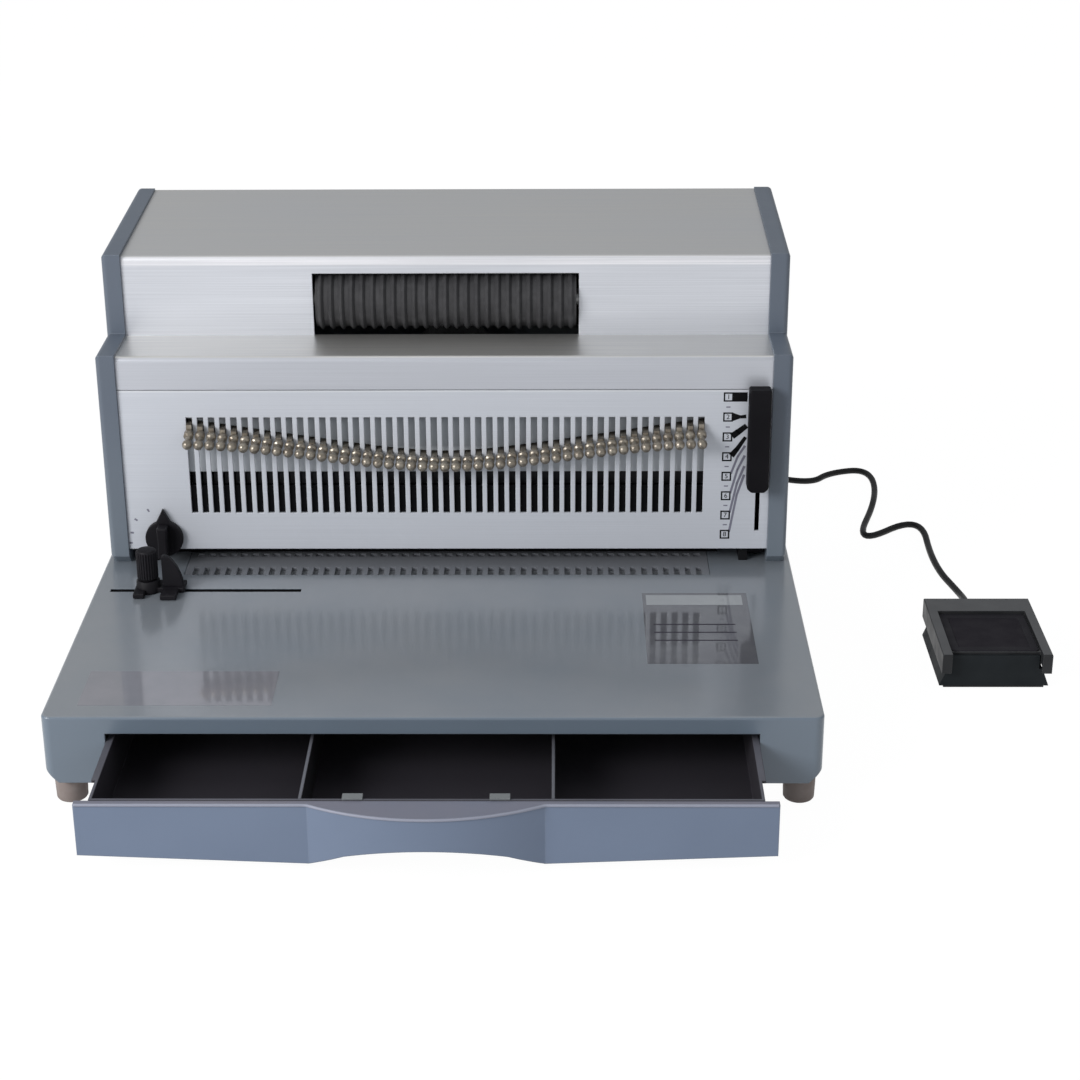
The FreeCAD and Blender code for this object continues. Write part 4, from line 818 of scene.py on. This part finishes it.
def thumb_screw():
    """Knurled head on a thin shank."""
    x, y, low = SCREW_SPOT
    valley = SCREW_RADIUS - 0.5 * MM
    points = []
    for i in range(SCREW_FLUTES):
        for part, reach in ((0.0, SCREW_RADIUS), (0.3, SCREW_RADIUS), (0.5, valley), (0.8, valley)):
            angle = 2 * math.pi * (i + part) / SCREW_FLUTES
            points.append(Vector((x + reach * math.cos(angle), y + reach * math.sin(angle), low + 1.2 * MM)))
    shape = bmesh.new()
    prism(shape, points, Vector((0, 0, SCREW_TOP - low - 2.6 * MM)))
    lathe(shape, [(0, 4.8 * MM), (1.3 * MM, 5.3 * MM)], Vector((x, y, low)), UP, 48)
    lathe(shape, [(0, 5.4 * MM), (0.8 * MM, 4.9 * MM), (1.4 * MM, 3.6 * MM), (1.4 * MM, 0)],
          Vector((x, y, SCREW_TOP - 1.4 * MM)), UP, 48)
    lathe(shape, [(0, SHANK_RADIUS), (SHANK_LENGTH, SHANK_RADIUS)], Vector((x, y, SHANK_END)), UP, 20)
    piece("thumb_screw_knurled", shape, black_plastic, "clamp_screw",
          ["guide_thumb_screw"], smooth=30)


# Printed marks

def patch(shape, points):
    """A flat printed mark on the panel, given as x and z in millimetres."""
    prism(shape, [Vector((x * MM, -PRINT, z * MM)) for x, z in points], Vector((0, PRINT, 0)))


def bar(shape, x, z):
    """A straight-sided mark between two values of x and of z."""
    patch(shape, [(x[0], z[0]), (x[1], z[0]), (x[1], z[1]), (x[0], z[1])])


def stroke(shape, start, end, wide, wide_end):
    """A straight line that may narrow from its start to its end."""
    along = Vector((end[0] - start[0], end[1] - start[1]))
    across = Vector((-along.y, along.x)).normalized()
    a, b = across * wide / 2, across * wide_end / 2
    patch(shape, [(start[0] - a.x, start[1] - a.y), (end[0] - b.x, end[1] - b.y),
                  (end[0] + b.x, end[1] + b.y), (start[0] + a.x, start[1] + a.y)])


def number(text, x, z):
    """A number printed on the panel, round its middle."""
    font = bpy.data.curves.new("number_" + text, "FONT")
    font.body = text
    font.size = NUMBER_SIZE
    font.align_x = "CENTER"
    font.align_y = "CENTER"
    font.extrude = PRINT / 2
    font.materials.append(black_ink)
    made = bpy.data.objects.new("number_" + text, font)
    made.matrix_world = Matrix.Translation((x * MM, -PRINT, z * MM)) @ Matrix.Rotation(math.pi / 2, 4, "X")
    bpy.context.scene.collection.objects.link(made)
    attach(made, "housing")


def lever_scale():
    """Eight framed numbers, each with a line that leads to its place beside the lever."""
    first, step, count = 155.9, 12.08, 8
    x, half, line = 161.1, 2.8, 0.85
    dark = bmesh.new()
    pale = bmesh.new()
    for i in range(count):
        z = first - step * i
        bar(dark, (x - half, x + half), (z + half - line, z + half))
        bar(dark, (x - half, x + half), (z - half, z - half + line))
        bar(dark, (x - half, x - half + line), (z - half + line, z + half - line))
        bar(dark, (x + half - line, x + half), (z - half + line, z + half - line))
        number(str(i + 1), x, z)
        if i < count - 1:
            bar(pale, (x - 1.2, x + 1.2), (z - step / 2 - 0.35, z - step / 2 + 0.35))
    right = x + half
    bar(dark, (right, 171.8), (first - half, first + half))
    wedges = (((right, 143.9), (168.0, 143.9), 5.0, 1.9), ((168.0, 143.9), (171.4, 144.2), 1.9, 2.3),
              ((right - 0.2, 132.1), (167.3, 135.0), 3.8, 3.6), ((166.7, 134.4), (171.8, 138.6), 3.6, 3.0),
              ((right - 0.3, 120.2), (166.8, 124.4), 3.6, 2.8), ((166.4, 123.7), (171.4, 131.6), 2.8, 2.0))
    for start, end, wide, wide_end in wedges:
        stroke(dark, start, end, wide, wide_end)
    for i, height in ((4, 126.4), (5, 120.4), (6, 113.9), (7, 108.6)):
        z = first - step * i
        bend_z = z + 0.66 * (height - z)
        stroke(pale, (right - 0.3, z + 1.5), (167.4, bend_z), 1.3, 1.3)
        stroke(pale, (167.3, bend_z - 0.3), (171.3, height), 1.3, 1.5)
    piece("lever_scale_marks", dark, black_ink, "housing")
    piece("lever_scale_lines", pale, grey_ink, "housing")


def slot_painted_shade():
    """Thin black skin on the walls of the side guide's slot: painted shade in the slot."""
    left, right, front, rear = -191.0, -82.0, -39.95, -36.05
    skin, low, high = 0.15, 51.1, 52.8
    shape = bmesh.new()
    for x, y in (((left, right), (rear - skin, rear)), ((left, right), (front, front + skin)),
                 ((left, left + skin), (front, rear)), ((right - skin, right), (front, rear))):
        slab(shape, [v * MM for v in x], [v * MM for v in y], (low * MM, high * MM))
    piece("guide_slot_painted_shade", shape, black_ink, "housing")


def dial_marks():
    """Four short marks round the margin knob."""
    shape = bmesh.new()
    for x, z in ((-173.3, 86.6), (-180.8, 80.8), (-183.7, 72.6), (-184.8, 66.1)):
        out = Vector((x - DIAL_SPOT.x / MM, z - DIAL_SPOT.z / MM)).normalized()
        stroke(shape, (x - out.x, z - out.y), (x + out.x, z + out.y), 1.1, 1.1)
    piece("dial_marks", shape, grey_ink, "housing")


def label(name, x, y, material, thick, lift=0.0):
    """A thin film on the base's top, given as x and y in millimetres."""
    shape = bmesh.new()
    low = BASE_TOP + lift
    slab(shape, (x[0] * MM, x[1] * MM), (y[0] * MM, y[1] * MM), (low, low + thick))
    piece(name, shape, material, "housing")


def labels():
    """Two plain labels: a bare film at the left, and one with a pale head and three rules at the right."""
    label("label_left", (-183, -83), (-180, -141), clear_film, FILM)
    label("label_right", (112, 171), (-132, -42), label_film_grey, FILM)
    label("label_right_head", (114, 168), (-58, -45), pale_ink, PRINT, FILM)
    rules = bmesh.new()
    count, first, step, deep = 3, -104, 10, 1.2 * MM
    top = BASE_TOP + FILM
    for i in range(count):
        y = (first + step * i) * MM
        slab(rules, (117 * MM, 162 * MM), (y, y + deep), (top, top + PRINT))
    piece("label_right_rules", rules, rule_ink, "housing")


# Drawer

def pull_edge():
    """Rolled edge along the top of the drawer's front and round the swelling pull, in a paler paint that is a
    painted highlight.
    """
    half, rise = PULL_HALF, PULL_BULGE
    radius = (half * half + rise * rise) / (2 * rise)
    sweep = math.asin(half / radius)
    steps, sides, wire = 36, 8, 0.8 * MM
    outer, inner = FRONT_HALF - 0.5 * MM, half + 2 * MM
    height = FRONT_TOP - 0.2 * MM
    spots = [(-outer, FRONT_FACE, 0.0), (-inner, FRONT_FACE, 0.0)]
    for i in range(steps + 1):
        angle = -sweep + 2 * sweep * i / steps
        spots.append((radius * math.sin(angle), FRONT_FACE - radius * math.cos(angle) + radius - rise, angle))
    spots += [(inner, FRONT_FACE, 0.0), (outer, FRONT_FACE, 0.0)]
    shape = bmesh.new()
    rings = []
    for x, y, angle in spots:
        spot = Vector((x, y, height))
        out = Vector((math.sin(angle), -math.cos(angle), 0))
        ring = []
        for side in range(sides):
            turn = 2 * math.pi * side / sides
            ring.append(shape.verts.new(spot + (out * math.cos(turn) + UP * math.sin(turn)) * wire))
        rings.append(ring)
    for low, high in zip(rings, rings[1:]):
        for side in range(sides):
            after = (side + 1) % sides
            shape.faces.new([low[side], low[after], high[after], high[side]])
    shape.faces.new(rings[0])
    shape.faces.new(list(reversed(rings[-1])))
    piece("drawer_pull_edge", shape, edge_highlight_paint, "drawer")


# Foot pedal

def rounded_outline(low, high, inset, radius, z):
    """Rectangle with rounded corners, seen from above."""
    points = []
    steps = 6
    corners = ((high.x, high.y, 0), (low.x, high.y, 1), (low.x, low.y, 2), (high.x, low.y, 3))
    middle = (low + high) / 2
    for x, y, quarter in corners:
        centre_x = x - math.copysign(inset + radius, x - middle.x)
        centre_y = y - math.copysign(inset + radius, y - middle.y)
        for i in range(steps + 1):
            angle = (quarter + i / steps) * math.pi / 2
            points.append(Vector((centre_x + radius * math.cos(angle),
                                  centre_y + radius * math.sin(angle), z)))
    return points


def loft(shape, outlines):
    """Skin over outlines of as many points each, with a face on the first and the last."""
    rings = [[shape.verts.new(point) for point in outline] for outline in outlines]
    for low, high in zip(rings, rings[1:]):
        for i in range(len(low)):
            j = (i + 1) % len(low)
            shape.faces.new([low[i], low[j], high[j], high[i]])
    shape.faces.new(list(reversed(rings[0])))
    shape.faces.new(rings[-1])


def tread():
    """Mat on the tread, with a border round a lower panel."""
    low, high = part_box("pedal_pad")
    border, step = 4.5 * MM, 0.4 * MM
    mat = bmesh.new()
    loft(mat, [rounded_outline(low, high, 0, 2 * MM, low.z),
               rounded_outline(low, high, 0, 2 * MM, high.z - 0.3 * MM),
               rounded_outline(low, high, 0.3 * MM, 1.8 * MM, high.z),
               rounded_outline(low, high, border, 1.2 * MM, high.z),
               rounded_outline(low, high, border + 0.2 * MM, 1.0 * MM, high.z - step)])
    piece("pedal_tread_mat", mat, tread_plastic, "pedal_top", ["pedal_pad"])
    panel = bmesh.new()
    loft(panel, [rounded_outline(low, high, border + 0.6 * MM, 0.8 * MM, low.z + 0.1 * MM),
                 rounded_outline(low, high, border + 0.6 * MM, 0.8 * MM, high.z - step + 0.1 * MM)])
    piece("pedal_tread_panel", panel, panel_plastic, "pedal_top")


def feet():
    """Four turned rubber feet with a rounded sole."""
    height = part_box("rubber_feet")[1].z
    shape = bmesh.new()
    profile = [(0, FOOT_RADIUS - 1.6 * MM), (0.4 * MM, FOOT_RADIUS - 1.0 * MM),
               (1.2 * MM, FOOT_RADIUS - 0.5 * MM), (height - 2 * MM, FOOT_RADIUS - 0.1 * MM),
               (height, FOOT_RADIUS)]
    for x, y in (FRONT_FOOT, REAR_FOOT):
        for side in (-1, 1):
            lathe(shape, profile, Vector((side * x * MM, y * MM, 0)), UP, 40)
    piece("turned_feet", shape, foot_rubber, "housing", ["rubber_feet"])


# Floor, background and lights

def shows_white(tree, share):
    """Camera, mirror and see-through rays meet this share of white; the rest meet the plain surface."""
    path = tree.nodes.new("ShaderNodeLightPath")
    total = None
    for name in ("Is Camera Ray", "Is Glossy Ray", "Is Transmission Ray"):
        if total is None:
            total = path.outputs[name]
            continue
        more = tree.nodes.new("ShaderNodeMath")
        more.operation = "MAXIMUM"
        tree.links.new(total, more.inputs[0])
        tree.links.new(path.outputs[name], more.inputs[1])
        total = more.outputs[0]
    part = tree.nodes.new("ShaderNodeMath")
    part.operation = "MULTIPLY"
    part.inputs[1].default_value = share
    tree.links.new(total, part.inputs[0])
    return part.outputs[0]


def lay_floor():
    """A grey table that takes the object's shadow and shows as white."""
    half, level = FLOOR_HALF, -FLOOR_DROP
    mesh = bpy.data.meshes.new("floor")
    corners = [(-half, -half, level), (half, -half, level), (half, half, level), (-half, half, level)]
    mesh.from_pydata(corners, [], [(0, 1, 2, 3)])
    material = bpy.data.materials.new("floor_white")
    material.use_nodes = True
    tree = material.node_tree
    plain = tree.nodes["Principled BSDF"]
    plain.inputs["Base Color"].default_value = FLOOR_SHADE
    plain.inputs["Roughness"].default_value = 0.9
    plain.inputs["Specular IOR Level"].default_value = 0.0
    white = tree.nodes.new("ShaderNodeEmission")
    mix = tree.nodes.new("ShaderNodeMixShader")
    white.inputs["Strength"].default_value = FLOOR_WHITE
    tree.links.new(shows_white(tree, FLOOR_WHITE_SHARE), mix.inputs[0])
    tree.links.new(plain.outputs[0], mix.inputs[1])
    tree.links.new(white.outputs[0], mix.inputs[2])
    tree.links.new(mix.outputs[0], tree.nodes["Material Output"].inputs["Surface"])
    mesh.materials.append(material)
    floor = bpy.data.objects.new("floor", mesh)
    bpy.context.scene.collection.objects.link(floor)


def set_world():
    """White behind the object for the camera, and a dim pale sky that lights it."""
    world = bpy.data.worlds.new("studio")
    world.use_nodes = True
    bpy.context.scene.world = world
    tree = world.node_tree
    plain = tree.nodes["Background"]
    plain.inputs["Color"].default_value = SKY_SHADE
    plain.inputs["Strength"].default_value = SKY_STRENGTH
    white = tree.nodes.new("ShaderNodeBackground")
    white.inputs["Color"].default_value = (1, 1, 1, 1)
    white.inputs["Strength"].default_value = 1.0
    mix = tree.nodes.new("ShaderNodeMixShader")
    path = tree.nodes.new("ShaderNodeLightPath")
    tree.links.new(path.outputs["Is Camera Ray"], mix.inputs[0])
    tree.links.new(plain.outputs[0], mix.inputs[1])
    tree.links.new(white.outputs[0], mix.inputs[2])
    tree.links.new(mix.outputs[0], tree.nodes["World Output"].inputs["Surface"])


def lamp(name, spot, size, watts, tint):
    """A rectangular lamp that looks at the machine."""
    light = bpy.data.lights.new(name, "AREA")
    light.shape = "RECTANGLE"
    light.size, light.size_y = size
    light.energy = watts
    light.color = tint
    made = bpy.data.objects.new(name, light)
    aim = (Vector(LAMP_TARGET) - Vector(spot)).to_track_quat("-Z", "Y")
    made.matrix_world = Matrix.Translation(spot) @ aim.to_matrix().to_4x4()
    bpy.context.scene.collection.objects.link(made)


bpy.context.scene.view_settings.view_transform = "Standard"
place_camera()
lay_cable()
dress_nodes()
pull_knobs()
coil_roller()
size_lever()
margin_dial()
side_guide()
thumb_screw()
lever_scale()
slot_painted_shade()
dial_marks()
labels()
pull_edge()
tread()
feet()
lay_floor()
set_world()
lamp("key", (-1.3, -1.2, 0.95), (1.0, 0.8), 28, (1.0, 0.99, 0.99))
lamp("fill", (1.6, -1.8, 1.0), (1.2, 1.2), 2.5, (0.96, 0.98, 1.0))
lamp("top", (0.0, 0.2, 2.2), (2.0, 1.6), 3, (1.0, 1.0, 1.0))
